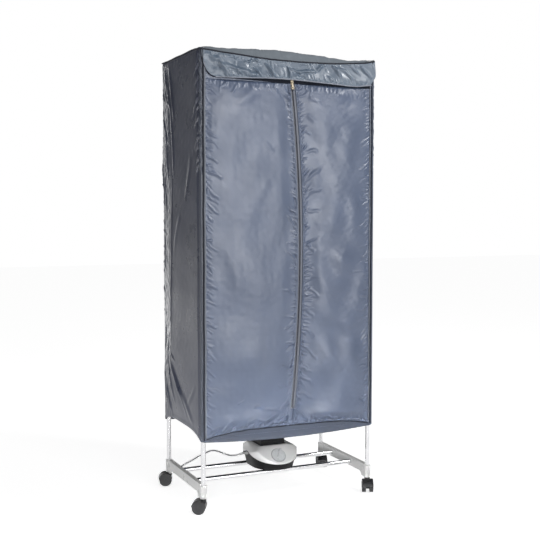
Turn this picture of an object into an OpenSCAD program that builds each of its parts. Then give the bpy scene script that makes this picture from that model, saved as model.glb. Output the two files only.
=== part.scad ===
// Heated clothes-drying cabinet: a tube frame on casters under a zipped cloth cover, with a fan heater.
// Millimetres. Origin on the floor under the middle; +X to the right, +Y to the rear, +Z up.

/* [Frame] */
// Distance between the left and right posts
post_spacing_x = 616; // [520:1:760]
// Distance between the front and rear posts
post_spacing_y = 356; // [320:1:440]
// Outer diameter of the posts
post_d = 16; // [14:0.5:18]
// Height of the top brackets' upper faces
frame_top = 1505; // [1350:1:1650]
// Height of the middle hanging rails' centre lines
mid_z = 742; // [650:1:850]
// Depth of the top brackets' rails below the frame's top
top_rail_drop = 15; // [12:1:15]
// Outer diameter of the rails
rail_d = 16; // [14:0.5:18]
// Wall of the posts and rails
tube_wall = 1; // [0.8:0.1:2]
// Distance between the front and rear rails
rail_spacing = 140; // [120:1:150]
// Thickness of the end brackets
bracket_t = 16; // [14:1:18]
// Depth of the blind seats that hold the rails' ends
rail_seat = 9; // [6:1:11]
// Height of the middle and top brackets
beam_h = 30; // [26:1:30]
// Wall of the middle and top sockets
socket_wall = 1.7; // [1.5:0.1:2.5]
// Radial gap between a tube and its socket
fit_gap = 0.05; // [0.03:0.01:0.1]

/* [Base] */
// Height of the base sockets' lower faces above the floor
base_low = 50; // [48:1:60]
// Height of the base sockets
base_socket_h = 43; // [40:1:50]
// Wall of the base sockets
base_socket_wall = 3.5; // [3:0.5:5]
// Height of the arch under a base bracket
arch_h = 14; // [10:1:15]
// Height of a base bracket's upper edge above the sockets' lower faces
base_beam_h = 45; // [44:1:48]
// Height of the base rails' centre lines above the sockets' lower faces
base_rail_h = 30; // [28:1:32]
// Length of each foot of the arch, from the post's centre
arch_foot = 30; // [26:1:40]
// Depth of a post in its base socket
post_seat = 18; // [12:1:19]

/* [Casters] */
// Wheel diameter
wheel_d = 44; // [38:1:44]
// Width of each wheel
wheel_w = 12; // [9:0.5:14]
// Gap between the two wheels of a caster
wheel_gap = 14; // [13:0.5:18]
// Distance from the swivel axis to the axle
caster_trail = 14; // [12:0.5:16]
// Axle diameter
axle_d = 5; // [4:0.5:6]
// Stem diameter
stem_d = 10; // [8:0.5:11]
// Length of the stem in its socket
stem_seat = 20; // [14:1:22]
// Radial gap of every turning fit
run_gap = 0.05; // [0.03:0.01:0.09]
// Gap beside turning faces
side_gap = 0.4; // [0.3:0.05:0.6]
// Gap between the wheels and the hood
hood_gap = 0.7; // [0.5:0.1:1]
// Thickness of the hood
hood_t = 2; // [1.5:0.1:2.5]

/* [Cover] */
// Thickness of the cloth
cloth_t = 2; // [1.5:0.1:2.5]
// Gap between the cloth and the sockets
cover_gap = 0.3; // [0.3:0.1:0.8]
// Width of the side cloth's return on the front face
corner_strip = 12; // [10:1:20]
// Height of the header above the doors
header_h = 97; // [90:1:120]
// Length of the header's tongue beside the zip
tongue_l = 20; // [18:1:24]
// Height of the hem at the corners
hem_corner = 238; // [220:1:260]
// Rise of the side hem between the corners
hem_side_rise = 27; // [10:1:40]
// Fall of the front hem between the corners
hem_front_fall = 13; // [5:1:20]
// Height of the bottom seam at the middle
seam_z = 266; // [260:1:290]
// Fall of the bottom seam at the corners
seam_fall = 24; // [8:1:24]
// Height of the zip's lower stop above the bottom seam
zip_stop_h = 56; // [50:1:80]
// Rise of the roof's middle
roof_bulge = 8; // [4:1:20]
// Sag of the roof's front edge between the posts
front_sag = 23; // [10:1:24]

/* [Zip and flap] */
// Sideways place of the zip at its ends
zip_end_x = 7; // [-20:1:20]
// Sideways bow of the zip at mid height
zip_bow = 29; // [15:1:40]
// Half width of the zip's tape
tape_half = 12; // [10:1:16]
// Half width of the gap between the two rows of teeth
teeth_gap = 0.8; // [0.7:0.1:1]
// Width of each row of teeth
teeth_w = 2.6; // [2:0.1:3]
// Height of the teeth above the cloth
teeth_rise = 0.5; // [0.3:0.1:0.8]
// Gap between the slider's plates and the teeth
slider_gap = 0.4; // [0.3:0.05:0.6]
// Length of the slider
slider_l = 16; // [14:1:18]
// Width of the slider
slider_w = 9; // [8:0.5:11]
// Thickness of the slider's plates
slider_t = 1.4; // [1.2:0.1:1.8]
// Pin of the pull tab
pull_pin_d = 1.6; // [1.4:0.1:2]
// Length of the pull tab
pull_l = 22; // [16:1:22]
// Height of the slider at rest above the doors' upper edges
slider_rest = 5; // [4:1:8]
// Height of the flap's hinge line below the frame's top
flap_drop = 25; // [25:1:30]
// Length of the flap at the middle
flap_l = 64; // [58:1:64]
// Stand-off of the flap's lower edge from the header
flap_standoff = 4; // [3.5:0.5:8]
// Left end of the flap
flap_left = -312; // [-316:1:-280]
// Right end of the flap
flap_right = 320; // [300:1:326]

/* [Heater] */
// Width of the heater's case
case_w = 176; // [168:1:190]
// Length of the heater's case, front to rear
case_l = 216; // [210:1:230]
// Height of the case
case_h = 80; // [78:1:90]
// Height of the rim at the front and rear
rim_front = 22; // [18:1:26]
// Height of the rim at the sides
rim_side = 56; // [50:1:60]
// Distance of the case's middle to the right of the duct's
case_x = 10; // [6:1:12]
// Width of the tray's flat bottom
tray_base_w = 150; // [144:1:160]
// Wall of the case
case_t = 2.5; // [2:0.1:3]
// Height of the cover's skirt under its slope
skirt_h = 4; // [3:0.5:6]
// Width of the outlet duct
duct_w = 90; // [80:1:96]
// Depth of the outlet duct
duct_l = 94; // [84:1:98]
// Height of the duct above the case
duct_h = 82; // [60:1:90]
// Wall of the duct
duct_t = 2; // [1.5:0.1:2.5]
// Number of ribs on the duct
duct_ribs = 8; // [5:1:9]
// Height of the heating element
element_h = 16; // [12:1:20]
// Diameter of the fan rotor
rotor_d = 104; // [90:1:108]
// Number of fan blades
rotor_blades = 9; // [7:1:12]
// Diameter of the fan's spindle
spindle_d = 6; // [5:0.5:8]
// Diameter of the fan motor
motor_d = 56; // [50:1:60]
// Height of the fan motor
motor_h = 32; // [28:1:34]

/* [Timer] */
// Sideways place of the dial
dial_x = 5; // [-10:1:10]
// Distance of the dial's centre behind the case's front edge
dial_in = 23; // [22:1:26]
// Diameter of the dial plate
dial_d = 54; // [50:1:56]
// Diameter of the knob
knob_d = 46; // [40:1:48]
// Width of the timer's body
timer_w = 40; // [36:1:42]
// Depth of the timer's body
timer_h = 24; // [20:1:26]
// Turn of the knob's grip
knob_turn = -28; // [-60:1:60]

/* [Cord] */
// Diameter of the mains cord
cord_d = 5.5; // [5:0.1:6]
// Radius of the coil's outer loop
coil_r = 37; // [35:1:40]
// Number of loops in the coil
coil_turns = 4; // [3:1:4]
// Least gap between two loops
coil_gap = 0.7; // [0.6:0.1:1.2]
// Diameter of the plug's pins
pin_d = 4.8; // [4:0.1:4.8]
// Length of the plug's pins
pin_l = 19; // [17:1:20]
// Distance between the plug's pins
pin_spacing = 19; // [18:0.5:20]
// Length of the plug's body
plug_l = 40; // [34:1:46]
// Width of the plug's body
plug_w = 34; // [30:1:38]
// Height of the plug's body
plug_h = 26; // [20:1:27]

/* [Hidden] */
$fn = 64;

// Colours, as the photograph shows them
chrome = [0.8, 0.81, 0.83];
white_plastic = [0.93, 0.93, 0.92];
black_plastic = [0.08, 0.08, 0.09];
door_cloth = [0.55, 0.58, 0.65];
side_cloth = [0.33, 0.33, 0.37];
flap_cloth = [0.5, 0.52, 0.55];
brass = [0.72, 0.58, 0.34];

// Frame
post_x = post_spacing_x / 2;
post_y = post_spacing_y / 2;
post_r = post_d / 2;
rail_r = rail_d / 2;
rail_y = rail_spacing / 2;
socket_r = post_r + socket_wall;
bracket_inner = post_x - bracket_t / 2;
rail_half = bracket_inner + rail_seat;
top_rail_z = frame_top - top_rail_drop;
top_socket_cap = 5;

// Base
base_socket_r = post_r + base_socket_wall;
base_socket_top = base_low + base_socket_h;
post_bottom = base_socket_top - post_seat;
base_rail_z = base_low + base_rail_h;
rail_top = base_rail_z + rail_r;

// Casters
wheel_r = wheel_d / 2;
wheel_space_r = wheel_r + hood_gap;
hood_r = wheel_space_r + hood_t;
hood_w = wheel_gap + 2 * wheel_w;
web_half = wheel_gap / 2 - side_gap;
yoke_top = base_low - side_gap;
boss_r = 10;
boss_low = wheel_r + 14;
web_low = wheel_r - 5;
web_r = wheel_r - 1;
// Turn of each caster about its post, from +X to where it trails
turn_fl = 151;
turn_rl = 164;
turn_fr = 246;
turn_rr = 254;

// Cover
cover_x = post_x + socket_r + cover_gap + cloth_t;
cover_y = post_y + socket_r + cover_gap + cloth_t;
cloth_x = cover_x - cloth_t;
cloth_y = cover_y - cloth_t;
strip_x = cover_x - corner_strip;
// Gap between the cloths of different bodies
swing_gap = 0.6;
// Places of the side cloths' two slanting folds, and the height over which they fade
fold_y = [120, 60];
fold_z = [420, 360];
fold_fade = 200;
door_top = frame_top - header_h;
header_low = door_top + swing_gap;
// Gap between the roof and what carries it
roof_gap = 0.2;
roof_steps = 16;
// The front edge of the roof is level from here to the corners
level_x = strip_x - 18;

// Zip: an arc about a centre far to the left of the cover
zip_high = header_low - tongue_l;
zip_low = seam_z + zip_stop_h;
zip_half = (zip_high - zip_low) / 2;
zip_r = (zip_half * zip_half + zip_bow * zip_bow) / (2 * zip_bow);
zip_centre_x = zip_end_x + zip_bow - zip_r;
zip_centre_z = (zip_high + zip_low) / 2;
zip_facets = 1440;
seam_gap = 0.2;
door_edge = tape_half + seam_gap;
slider_z = door_top + slider_rest;
slider_turn = asin((slider_z - zip_centre_z) / zip_r);
slider_stop_z = zip_low - 22;
slider_front = -cover_y - teeth_rise - slider_gap - slider_t;
slider_back = -cloth_y + teeth_rise + slider_gap + slider_t;
slot_half = teeth_gap;
neck_half = 0.5;
pull_eye_r = pull_pin_d / 2 + 1.1;
pull_eye_w = 5;
pull_y = slider_front - pull_eye_r - 0.3;
pull_t = 1.6;
pull_z = -1;
lug_t = 1.2;

// Flap
flap_z = frame_top - flap_drop;
flap_gap = 0.5;
flap_round = 47;
flap_corner = 20;

// Heater
case_bottom = rail_top;
case_top = case_bottom + case_h;
case_r = case_w / 2;
case_half = (case_l - case_w) / 2;
rim_front_z = case_bottom + rim_front;
rim_side_z = case_bottom + rim_side;
slope_foot_z = rim_front_z + skirt_h;
flat_y = case_l / 2 - (case_top - slope_foot_z);
flat_x = case_r - (case_top - rim_side_z);
tray_r = tray_base_w / 2;
floor_z = case_bottom + case_t;
boss_x = 60;
boss_y = 48;
screw_boss_r = 4.5;
screw_r = 1.5;
screw_l = 14;
screw_head_r = 3;
screw_head_h = 2;
vent_w = 3;
vent_pitch = 9;
vent_count = 9;
vent_l = 60;
keeper_h = 8;
keeper_t = 5;
duct_seat = 4;
duct_flange = 4;
rib_pitch = duct_h / (duct_ribs + 1);
rib_t = 3;
rib_h = 2;
fin_gap = 3.6;
fin_t = 2.4;
rotor_z = floor_z + motor_h + 4;
rotor_h = 18;
rotor_plate = 2;
hub_r = 11;
blade_t = 1.6;
rotor_y = 8;
gland_z = rim_side_z - 9;
gland_r = 5;
gland_in = -case_r + 8;
gland_out = -case_r - 5;

// Timer, drawn about the dial's centre on the front slope
dial_y = dial_in - case_l / 2;
dial_z = slope_foot_z + dial_in;
dial_plate_t = 1.2;
knob_lift = dial_plate_t + 0.3;
knob_disc_h = 4;
grip_h = 9;
grip_w = 7;
spindle_out = 9;
dial_hole_r = 4;

// Cord: points chosen by hand, in the order in which the cord runs from the heater
cord_r = cord_d / 2;
cord_sides = 10;
cord_route = [
    [case_x + gland_out, 0, gland_z], [-90, 0, 135], [-104, 1, 132.5], [-118, 2, 130],
    [-132, 5, 129.5], [-146, 10, 132], [-160, 17, 137], [-173, 25, 142.5], [-186, 34, 146], [-199, 42, 145], [-211, 48, 139.5],
    [-224, 53, 132.5], [-238, 60, 125], [-252, 68, 115], [-266, 75, 106], [-280, 83, 97],
    [-290, 92, 87.5], [-294, 105, 79.5], [-293, 121, 72.5], [-288, 138, 66.5], [-280, 155, 60],
    [-271, 172, 52.5], [-261, 189, 44], [-251, 206, 35], [-241, 224, 26.5], [-231, 242, 19],
    [-220, 260, 13.2], [-209, 278, 8.8], [-196, 295, 5.8], [-182, 311, 4.2], [-166, 325, 3.4],
    [-147, 336, 3.2], [-124, 342, 3.2], [-96, 343, 3.2], [-66, 343, 3.2], [-36, 343, 3.2],
    [-6, 343, 3.2], [24, 343, 3.2], [54, 343, 3.4], [82, 343, 4.2], [100, 343, 4.6],
    [112, 343, 4.6]
];
coil_x = 122;
coil_y = 306;
coil_z = 4.6;
coil_lead = 10;
coil_pitch = cord_d + coil_gap;
coil_rings = 24;
coil_sides = 6;
coil_top_z = coil_z + coil_pitch;
plug_x = coil_x + 52;
plug_y = coil_y + coil_r;
plug_z = plug_h / 2 + 0.2;
plug_nose = 8;
cord_tail = [
    [coil_x + coil_lead, plug_y, coil_top_z], [137, 343, coil_top_z], [145, 343, 11.3],
    [153, 343, 12.3], [160, 343, 13], [plug_x - plug_nose, plug_y, plug_z]
];
tie_t = 1.2;
tie_w = 8;
tie_gap = 0.4;
tie_turn = 200;
tie_in_r = coil_r - coil_turns / 2 * coil_pitch - cord_r - tie_gap;
tie_out_r = coil_r + cord_r + tie_gap;

// ---- Shapes that repeat ----

// A cylinder along X, from x1 to x2
module rod_x(r, x1, x2) {
    translate([x1, 0, 0]) rotate([0, 90, 0]) cylinder(r = r, h = x2 - x1);
}

// A cylinder along Y, centred
module rod_y(r, w) {
    rotate([90, 0, 0]) cylinder(r = r, h = w, center = true);
}

// A box from its low corner to its high corner
module span(low, high) {
    translate(low) cube(high - low);
}

// An outline in the XZ plane, drawn from y1 to y2
module upright(y1, y2) {
    translate([0, y2, 0]) rotate([90, 0, 0]) linear_extrude(y2 - y1) children();
}

// A thin cloth between two sheets of points, outer and inner, each a function of u and v
module cloth(nu, nv, outer, inner) {
    n = (nu + 1) * (nv + 1);
    steps = [for (j = [0:nv]) for (i = [0:nu]) [i / nu, j / nv]];
    points = concat([for (s = steps) outer(s[0], s[1])], [for (s = steps) inner(s[0], s[1])]);
    corner = function(i, j) j * (nu + 1) + i;
    skin = [
        for (j = [0:nv - 1]) for (i = [0:nu - 1]) for (half = [0, 1])
        [corner(i, j), corner(i + half, j + 1), corner(i + 1, half ? j : j + 1)]
    ];
    lining = [for (t = skin) [t[2] + n, t[1] + n, t[0] + n]];
    border = concat(
        [for (i = [0:nu - 1]) [corner(i + 1, 0), corner(i, 0)]],
        [for (j = [0:nv - 1]) [corner(0, j), corner(0, j + 1)]],
        [for (i = [0:nu - 1]) [corner(i, nv), corner(i + 1, nv)]],
        [for (j = [0:nv - 1]) [corner(nu, j + 1), corner(nu, j)]]
    );
    hem = [for (e = border) for (half = [0, 1]) half ? [e[0], e[0] + n, e[1] + n] : [e[0], e[1] + n, e[1]]];
    polyhedron(points = points, faces = concat(skin, lining, hem));
}

// Unit direction of a path at point i
function heading(path, i) =
    let (a = path[max(i - 1, 0)], b = path[min(i + 1, len(path) - 1)]) (b - a) / norm(b - a);

// One ring of a tube, square to the path at its ends
function ring(path, i, r, sides) =
    let (
        t = i == 0 ? path[1] - path[0] : i == len(path) - 1 ? path[i] - path[i - 1] : heading(path, i),
        d = t / norm(t),
        side = cross([0, 0, 1], d),
        s = side / norm(side),
        up = cross(d, s)
    )
    [for (k = [0:sides - 1]) path[i] + r * (cos(360 * k / sides) * s + sin(360 * k / sides) * up)];

// A tube along a path of points, as one closed solid
module tube(path, r, sides) {
    last = len(path) - 1;
    points = [for (i = [0:last]) each ring(path, i, r, sides)];
    wall = [
        for (i = [0:last - 1]) for (k = [0:sides - 1]) for (half = [0, 1])
        let (a = i * sides + k, b = i * sides + (k + 1) % sides)
        half ? [a, b + sides, b] : [a, a + sides, b + sides]
    ];
    start = [for (k = [0:sides - 1]) k];
    end = [for (k = [sides - 1:-1:0]) last * sides + k];
    polyhedron(points = points, faces = concat(wall, [start, end]));
}

// 1 in the middle of a span from 0 to 1, falling smoothly to 0 at both ends
function fade(t) = pow(sin(180 * min(max(t, 0), 1)), 0.7);

// 0 below a, 1 above b, smooth between them
function ease(x, a, b) = let (t = min(max((x - a) / (b - a), 0), 1)) t * t * (3 - 2 * t);

// A soft ridge of width w along the line where s is 0
function ridge(s, w) = exp(-(s * s) / (w * w));

// ---- Base, posts and rails ----

// Side outline of a base bracket, along the beam
module base_outline() {
    foot_y = post_y - arch_foot;
    difference() {
        translate([-post_y, base_low]) square([2 * post_y, base_beam_h]);
        translate([-foot_y, base_low - 1]) square([2 * foot_y, 1 + arch_h / 2]);
        translate([-foot_y + arch_h, base_low]) square([2 * (foot_y - arch_h), arch_h]);
        for (s = [-1, 1]) translate([s * (foot_y - arch_h), base_low]) circle(arch_h);
    }
}

module base_bracket(side) {
    seam_y = -41;
    seam_w = 1.2;
    seam_deep = 0.6;
    color(white_plastic)
    difference() {
        union() {
            intersection() {
                translate([side * post_x - bracket_t / 2, 0, 0]) rotate([90, 0, 90])
                    linear_extrude(bracket_t) base_outline();
                span([-cover_x, -post_y + post_r, 0], [cover_x, post_y - post_r, frame_top]);
            }
            for (s = [-1, 1]) translate([side * post_x, s * post_y, base_low])
                cylinder(r = base_socket_r, h = base_socket_h);
        }
        for (s = [-1, 1]) translate([side * post_x, s * post_y, 0]) {
            translate([0, 0, post_bottom]) cylinder(r = post_r + fit_gap, h = frame_top);
            translate([0, 0, base_low - 1]) cylinder(r = stem_d / 2 + run_gap, h = stem_seat + 2);
        }
        for (s = [-1, 1]) rail_bore(side, s * rail_y, base_rail_z);
        translate([side * (post_x + bracket_t / 2), seam_y, base_low + base_beam_h / 2])
            cube([2 * seam_deep, seam_w, 2 * base_beam_h], center = true);
    }
}

// Blind seat of a rail's end, cut from a bracket's inner face
module rail_bore(side, y, z) {
    low = side > 0 ? 0 : -rail_half;
    translate([0, y, z]) rod_x(rail_r + fit_gap, low, low + rail_half);
}

module rail(y, z) {
    color(chrome) translate([0, y, z]) difference() {
        rod_x(rail_r, -rail_half, rail_half);
        rod_x(rail_r - tube_wall, -rail_half - 1, rail_half + 1);
    }
}

module post(sx, sy, z1, z2) {
    color(chrome) translate([sx * post_x, sy * post_y, z1]) difference() {
        cylinder(r = post_r, h = z2 - z1);
        translate([0, 0, -1]) cylinder(r = post_r - tube_wall, h = z2 - z1 + 2);
    }
}

module lower_post(sx, sy) {
    post(sx, sy, post_bottom, mid_z);
}

module upper_post(sx, sy) {
    post(sx, sy, mid_z, frame_top - top_socket_cap);
}

// A straight bracket with a socket at each end, from z1 to z2, whose bores end at bore_top
module frame_bracket(side, z1, z2, bore_top, seat_z) {
    color(white_plastic)
    difference() {
        union() {
            span([side * post_x - bracket_t / 2, -post_y, z1], [side * post_x + bracket_t / 2, post_y, z2]);
            for (s = [-1, 1]) translate([side * post_x, s * post_y, z1]) cylinder(r = socket_r, h = z2 - z1);
        }
        for (s = [-1, 1]) translate([side * post_x, s * post_y, z1 - 1])
            cylinder(r = post_r + fit_gap, h = bore_top - z1 + 1);
        for (s = [-1, 1]) rail_bore(side, s * rail_y, seat_z);
    }
}

module mid_bracket(side) {
    frame_bracket(side, mid_z - beam_h / 2, mid_z + beam_h / 2, mid_z + beam_h, mid_z);
}

module top_bracket(side) {
    frame_bracket(side, frame_top - beam_h, frame_top, frame_top - top_socket_cap, top_rail_z);
}

// ---- Casters, drawn with the swivel axis on Z and the axle out along +X ----

module at_caster(sx, sy, turn) {
    translate([sx * post_x, sy * post_y, 0]) rotate([0, 0, turn]) children();
}

module at_axle() {
    translate([caster_trail, 0, wheel_r]) children();
}

module caster_yoke(sx, sy, turn) {
    color(black_plastic) at_caster(sx, sy, turn) {
        difference() {
            union() {
                intersection() {
                    at_axle() rod_y(hood_r, hood_w);
                    span([-boss_r - hood_r, -hood_w, web_low + 8], [3 * hood_r, hood_w, yoke_top]);
                }
                translate([0, 0, boss_low]) cylinder(r = boss_r, h = yoke_top - boss_low);
            }
            for (s = [-1, 1]) translate([0, s * (web_half + hood_w / 2), 0])
                at_axle() rod_y(wheel_space_r, hood_w);
        }
        intersection() {
            at_axle() rod_y(web_r, 2 * web_half);
            span([-hood_r, -hood_w, web_low], [3 * hood_r, hood_w, yoke_top]);
        }
        translate([0, 0, boss_low]) cylinder(r = stem_d / 2, h = base_low + stem_seat - boss_low);
        at_axle() rod_y(axle_d / 2, hood_w - 2);
    }
}

module wheel(sx, sy, turn, s) {
    recess = 1.5;
    hub = axle_d;
    color(black_plastic) at_caster(sx, sy, turn) translate([0, s * (wheel_gap + wheel_w) / 2, 0]) at_axle()
    difference() {
        rod_y(wheel_r, wheel_w);
        rod_y(axle_d / 2 + run_gap, 2 * wheel_w);
        translate([0, s * wheel_w / 2, 0]) difference() {
            rod_y(wheel_r * 0.78, 2 * recess);
            rod_y(hub, 3 * recess);
        }
    }
}

// ---- Heater ----

// A stadium-shaped block whose end radius goes from r1 at z1 to r2 at z2
module stadium(r1, r2, z1, z2) {
    for (s = [-1, 1]) translate([0, s * case_half, z1]) cylinder(r1 = r1, r2 = r2, h = z2 - z1);
    upright(-case_half, case_half) polygon([[-r1, z1], [r1, z1], [r2, z2], [-r2, z2]]);
}

// Side outline of the case's slopes, in by i
module slope_outline(i, low) {
    y = case_l / 2 - i;
    corner = i * (sqrt(2) - 1);
    polygon([
        [-y, low], [y, low], [y, slope_foot_z - corner], [flat_y - corner, case_top - i],
        [-flat_y + corner, case_top - i], [-y, slope_foot_z - corner]
    ]);
}

// Front outline of the case's side slopes, in by i
module shoulder_outline(i, low) {
    x = case_r - i;
    corner = i * (sqrt(2) - 1);
    polygon([
        [-x, low], [x, low], [x, rim_side_z - corner], [flat_x - corner, case_top - i],
        [-flat_x + corner, case_top - i], [-x, rim_side_z - corner]
    ]);
}

// Everything in the case's outline, in by i
module case_block(i, low) {
    intersection() {
        stadium(case_r - i, case_r - i, low, case_top - i);
        along_x(case_r) slope_outline(i, low);
        upright(-case_l / 2, case_l / 2) shoulder_outline(i, low);
    }
}

// An outline in the YZ plane, drawn from -x to x
module along_x(x) {
    translate([-x, 0, 0]) rotate([90, 0, 90]) linear_extrude(2 * x) children();
}

// The space under the rim, lowered by drop
module under_rim(drop) {
    y = case_l / 2 + 1;
    fall = (rim_side - rim_front) / case_l * 2;
    along_x(case_w) polygon([
        [-y, 0], [y, 0], [y, rim_front_z - drop - fall], [0, rim_side_z - drop], [-y, rim_front_z - drop - fall]
    ]);
}

module screw_places() {
    for (sx = [-1, 1]) for (sy = [-1, 1]) translate([sx * boss_x, sy * boss_y, 0]) children();
}

module at_case() {
    translate([case_x, 0, 0]) children();
}

module heater_tray() {
    color([0.16, 0.16, 0.17]) at_case()
    difference() {
        union() {
            intersection() {
                stadium(tray_r, case_r, case_bottom, rim_side_z);
                under_rim(0);
            }
            difference() {
                intersection() {
                    stadium(case_r, case_r, case_bottom, rim_side_z);
                    under_rim(0);
                }
                under_rim(case_t);
            }
            for (s = [-1, 1]) translate([0, s * (rail_y - rail_r - keeper_t / 2 - fit_gap), case_bottom - keeper_h / 2])
                cube([case_w / 2, keeper_t, keeper_h], center = true);
        }
        stadium(tray_r - case_t, case_r - case_t, floor_z, rim_side_z + 0.01);
        for (i = [0:vent_count - 1]) translate([(i - (vent_count - 1) / 2) * vent_pitch, 0, case_bottom])
            cube([vent_w, vent_l, 3 * case_t], center = true);
        translate([0, 0, gland_z]) rod_x(gland_r + fit_gap, -case_w, gland_in);
        screw_places() translate([0, 0, case_bottom - 1]) cylinder(r = screw_r + fit_gap, h = 2 * case_t);
    }
}

module heater_cover() {
    color(white_plastic)
    difference() {
        at_case() union() {
            difference() {
                case_block(0, case_bottom);
                case_block(case_t, case_bottom - 1);
                under_rim(0);
            }
            intersection() {
                case_block(case_t / 2, floor_z);
                screw_places() translate([0, 0, floor_z]) cylinder(r = screw_boss_r, h = case_h);
            }
        }
        at_case() screw_places() translate([0, 0, floor_z - 1]) cylinder(r = screw_r + fit_gap, h = screw_l + 2);
        translate([0, 0, case_top]) cube([duct_w + 2 * fit_gap, duct_l + 2 * fit_gap, 20], center = true);
        at_dial() cylinder(r = dial_hole_r, h = 20, center = true);
    }
}

module heater_screws() {
    color(chrome) at_case() screw_places() {
        translate([0, 0, case_bottom - screw_head_h]) cylinder(r = screw_head_r, h = screw_head_h);
        translate([0, 0, case_bottom - screw_head_h]) cylinder(r = screw_r, h = screw_l);
    }
}

module duct_box(grow, z1, z2) {
    span([-duct_w / 2 - grow, -duct_l / 2 - grow, z1], [duct_w / 2 + grow, duct_l / 2 + grow, z2]);
}

module outlet_duct() {
    color(black_plastic)
    difference() {
        union() {
            duct_box(0, case_top - duct_seat, case_top + duct_h);
            duct_box(duct_flange, case_top, case_top + duct_t);
            for (i = [1:duct_ribs]) duct_box(rib_h, case_top + i * rib_pitch, case_top + i * rib_pitch + rib_t);
        }
        duct_box(-duct_t, 0, frame_top);
    }
}

module heating_element() {
    z1 = case_top - duct_seat;
    wide = duct_w - 2 * duct_t;
    count = floor((wide - 2 * fin_t) / (fin_gap + fin_t));
    color([0.75, 0.72, 0.66])
    difference() {
        duct_box(-duct_t, z1, z1 + element_h);
        for (i = [0:count - 1]) translate([(i - (count - 1) / 2) * (fin_gap + fin_t), 0, z1])
            cube([fin_gap, duct_l - 4 * duct_t, 3 * element_h], center = true);
    }
}

module fan_motor() {
    color([0.4, 0.4, 0.42]) translate([0, rotor_y, floor_z]) {
        cylinder(r = motor_d / 2, h = motor_h);
        cylinder(r = spindle_d / 2, h = rotor_z + rotor_h - floor_z);
    }
}

module fan_rotor() {
    color(black_plastic) translate([0, rotor_y, rotor_z])
    difference() {
        union() {
            cylinder(r = rotor_d / 2, h = rotor_plate);
            cylinder(r = hub_r, h = rotor_h);
            for (i = [0:rotor_blades - 1]) rotate([0, 0, i * 360 / rotor_blades])
                translate([hub_r - 1, -blade_t / 2, 0]) cube([rotor_d / 2 - hub_r, blade_t, rotor_h]);
        }
        translate([0, 0, -1]) cylinder(r = spindle_d / 2 + run_gap, h = rotor_h + 2);
    }
}

// Z out of the front slope, at the dial's centre
module at_dial() {
    translate([dial_x, dial_y, dial_z]) rotate([45, 0, 0]) children();
}

module timer_box() {
    color([0.85, 0.85, 0.8]) at_dial() {
        translate([-timer_w / 2, -timer_w / 2, -case_t - timer_h]) cube([timer_w, timer_w, timer_h]);
        translate([0, 0, -case_t - 1]) cylinder(r = spindle_d / 2, h = case_t + 1 + spindle_out);
    }
}

module dial_plate() {
    color([0.75, 0.76, 0.77]) at_dial()
    difference() {
        cylinder(r = dial_d / 2, h = dial_plate_t);
        translate([0, 0, -1]) cylinder(r = dial_hole_r, h = dial_plate_t + 2);
    }
}

module timer_knob() {
    color([0.78, 0.79, 0.8]) at_dial() rotate([0, 0, knob_turn])
    difference() {
        union() {
            translate([0, 0, knob_lift]) cylinder(r = knob_d / 2, h = knob_disc_h);
            intersection() {
                translate([-grip_w / 2, -knob_d / 2, knob_lift]) cube([grip_w, knob_d, knob_disc_h + grip_h]);
                cylinder(r = knob_d / 2 - 1, h = 3 * grip_h);
            }
        }
        cylinder(r = spindle_d / 2 + run_gap, h = spindle_out + 1);
    }
}

module cord_gland() {
    color([0.45, 0.45, 0.46]) translate([case_x, 0, gland_z]) {
        rod_x(gland_r, gland_out, gland_in);
        rod_x(gland_r + 2, gland_out + 3, -case_r - 0.5);
    }
}

// ---- Cord ----

module mains_cord() {
    color(black_plastic) {
        tube(cord_route, cord_r, cord_sides);
        tube(cord_tail, cord_r, cord_sides);
    }
}

// The coil winds clockwise from its far side: in on the lower layer, up, and out on the upper one
function coil_point(t) =
    let (
        half = coil_turns / 2,
        r = coil_r - coil_pitch * (half - abs(t - half)),
        z = coil_z + coil_pitch * ease(t, half - 0.25, half + 0.25),
        a = 90 - 360 * t
    )
    [coil_x + r * cos(a), coil_y + r * sin(a), z];

coil_loops = [for (i = [0:coil_turns * coil_rings]) coil_point(i / coil_rings)];
coil_path = concat(
    [[coil_x - coil_lead, plug_y, coil_z], [coil_x - coil_lead / 2, plug_y, coil_z]],
    coil_loops,
    [[coil_x + coil_lead / 2, plug_y, coil_top_z], [coil_x + coil_lead, plug_y, coil_top_z]]
);
// Least distance between the centre lines of loops half a turn or more apart
coil_least = min([
    for (i = [0:len(coil_loops) - 1]) for (j = [i + coil_rings / 2:len(coil_loops) - 1])
    norm(coil_loops[i] - coil_loops[j])
]) - cord_d;
echo(coil_least_gap = coil_least);

module cord_coil() {
    color(black_plastic) tube(coil_path, cord_r, coil_sides);
}

module cord_tie() {
    low = coil_z - cord_r - tie_gap;
    high = coil_top_z + cord_r + tie_gap;
    color([0.2, 0.2, 0.2]) translate([coil_x, coil_y, 0]) rotate([0, 0, tie_turn])
    difference() {
        span([tie_in_r - tie_t, -tie_w / 2, low - tie_t], [tie_out_r + tie_t, tie_w / 2, high + tie_t]);
        span([tie_in_r, -tie_w, low], [tie_out_r, tie_w, high]);
    }
}

module plug() {
    nose_r = cord_r + 1.5;
    color(black_plastic) translate([plug_x, plug_y, plug_z]) {
        translate([plug_l / 2, 0, 0]) intersection() {
            cube([plug_l, plug_w, plug_h], center = true);
            rod_x(plug_w / 2, -plug_l, plug_l);
        }
        rod_x(nose_r, -plug_nose, 1);
    }
    color(chrome) translate([plug_x + plug_l, plug_y, plug_z])
        for (s = [-1, 1]) translate([0, s * pin_spacing / 2, 0]) rod_x(pin_d / 2, -1, pin_l);
}

// ---- Cover ----

// Sideways places of the roof's points: one at each edge, the rest over the part that isn't level
function roof_x(i) =
    i == 0 ? -cover_x : i == roof_steps ? cover_x : level_x * (2 * (i - 1) / (roof_steps - 2) - 1);

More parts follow.
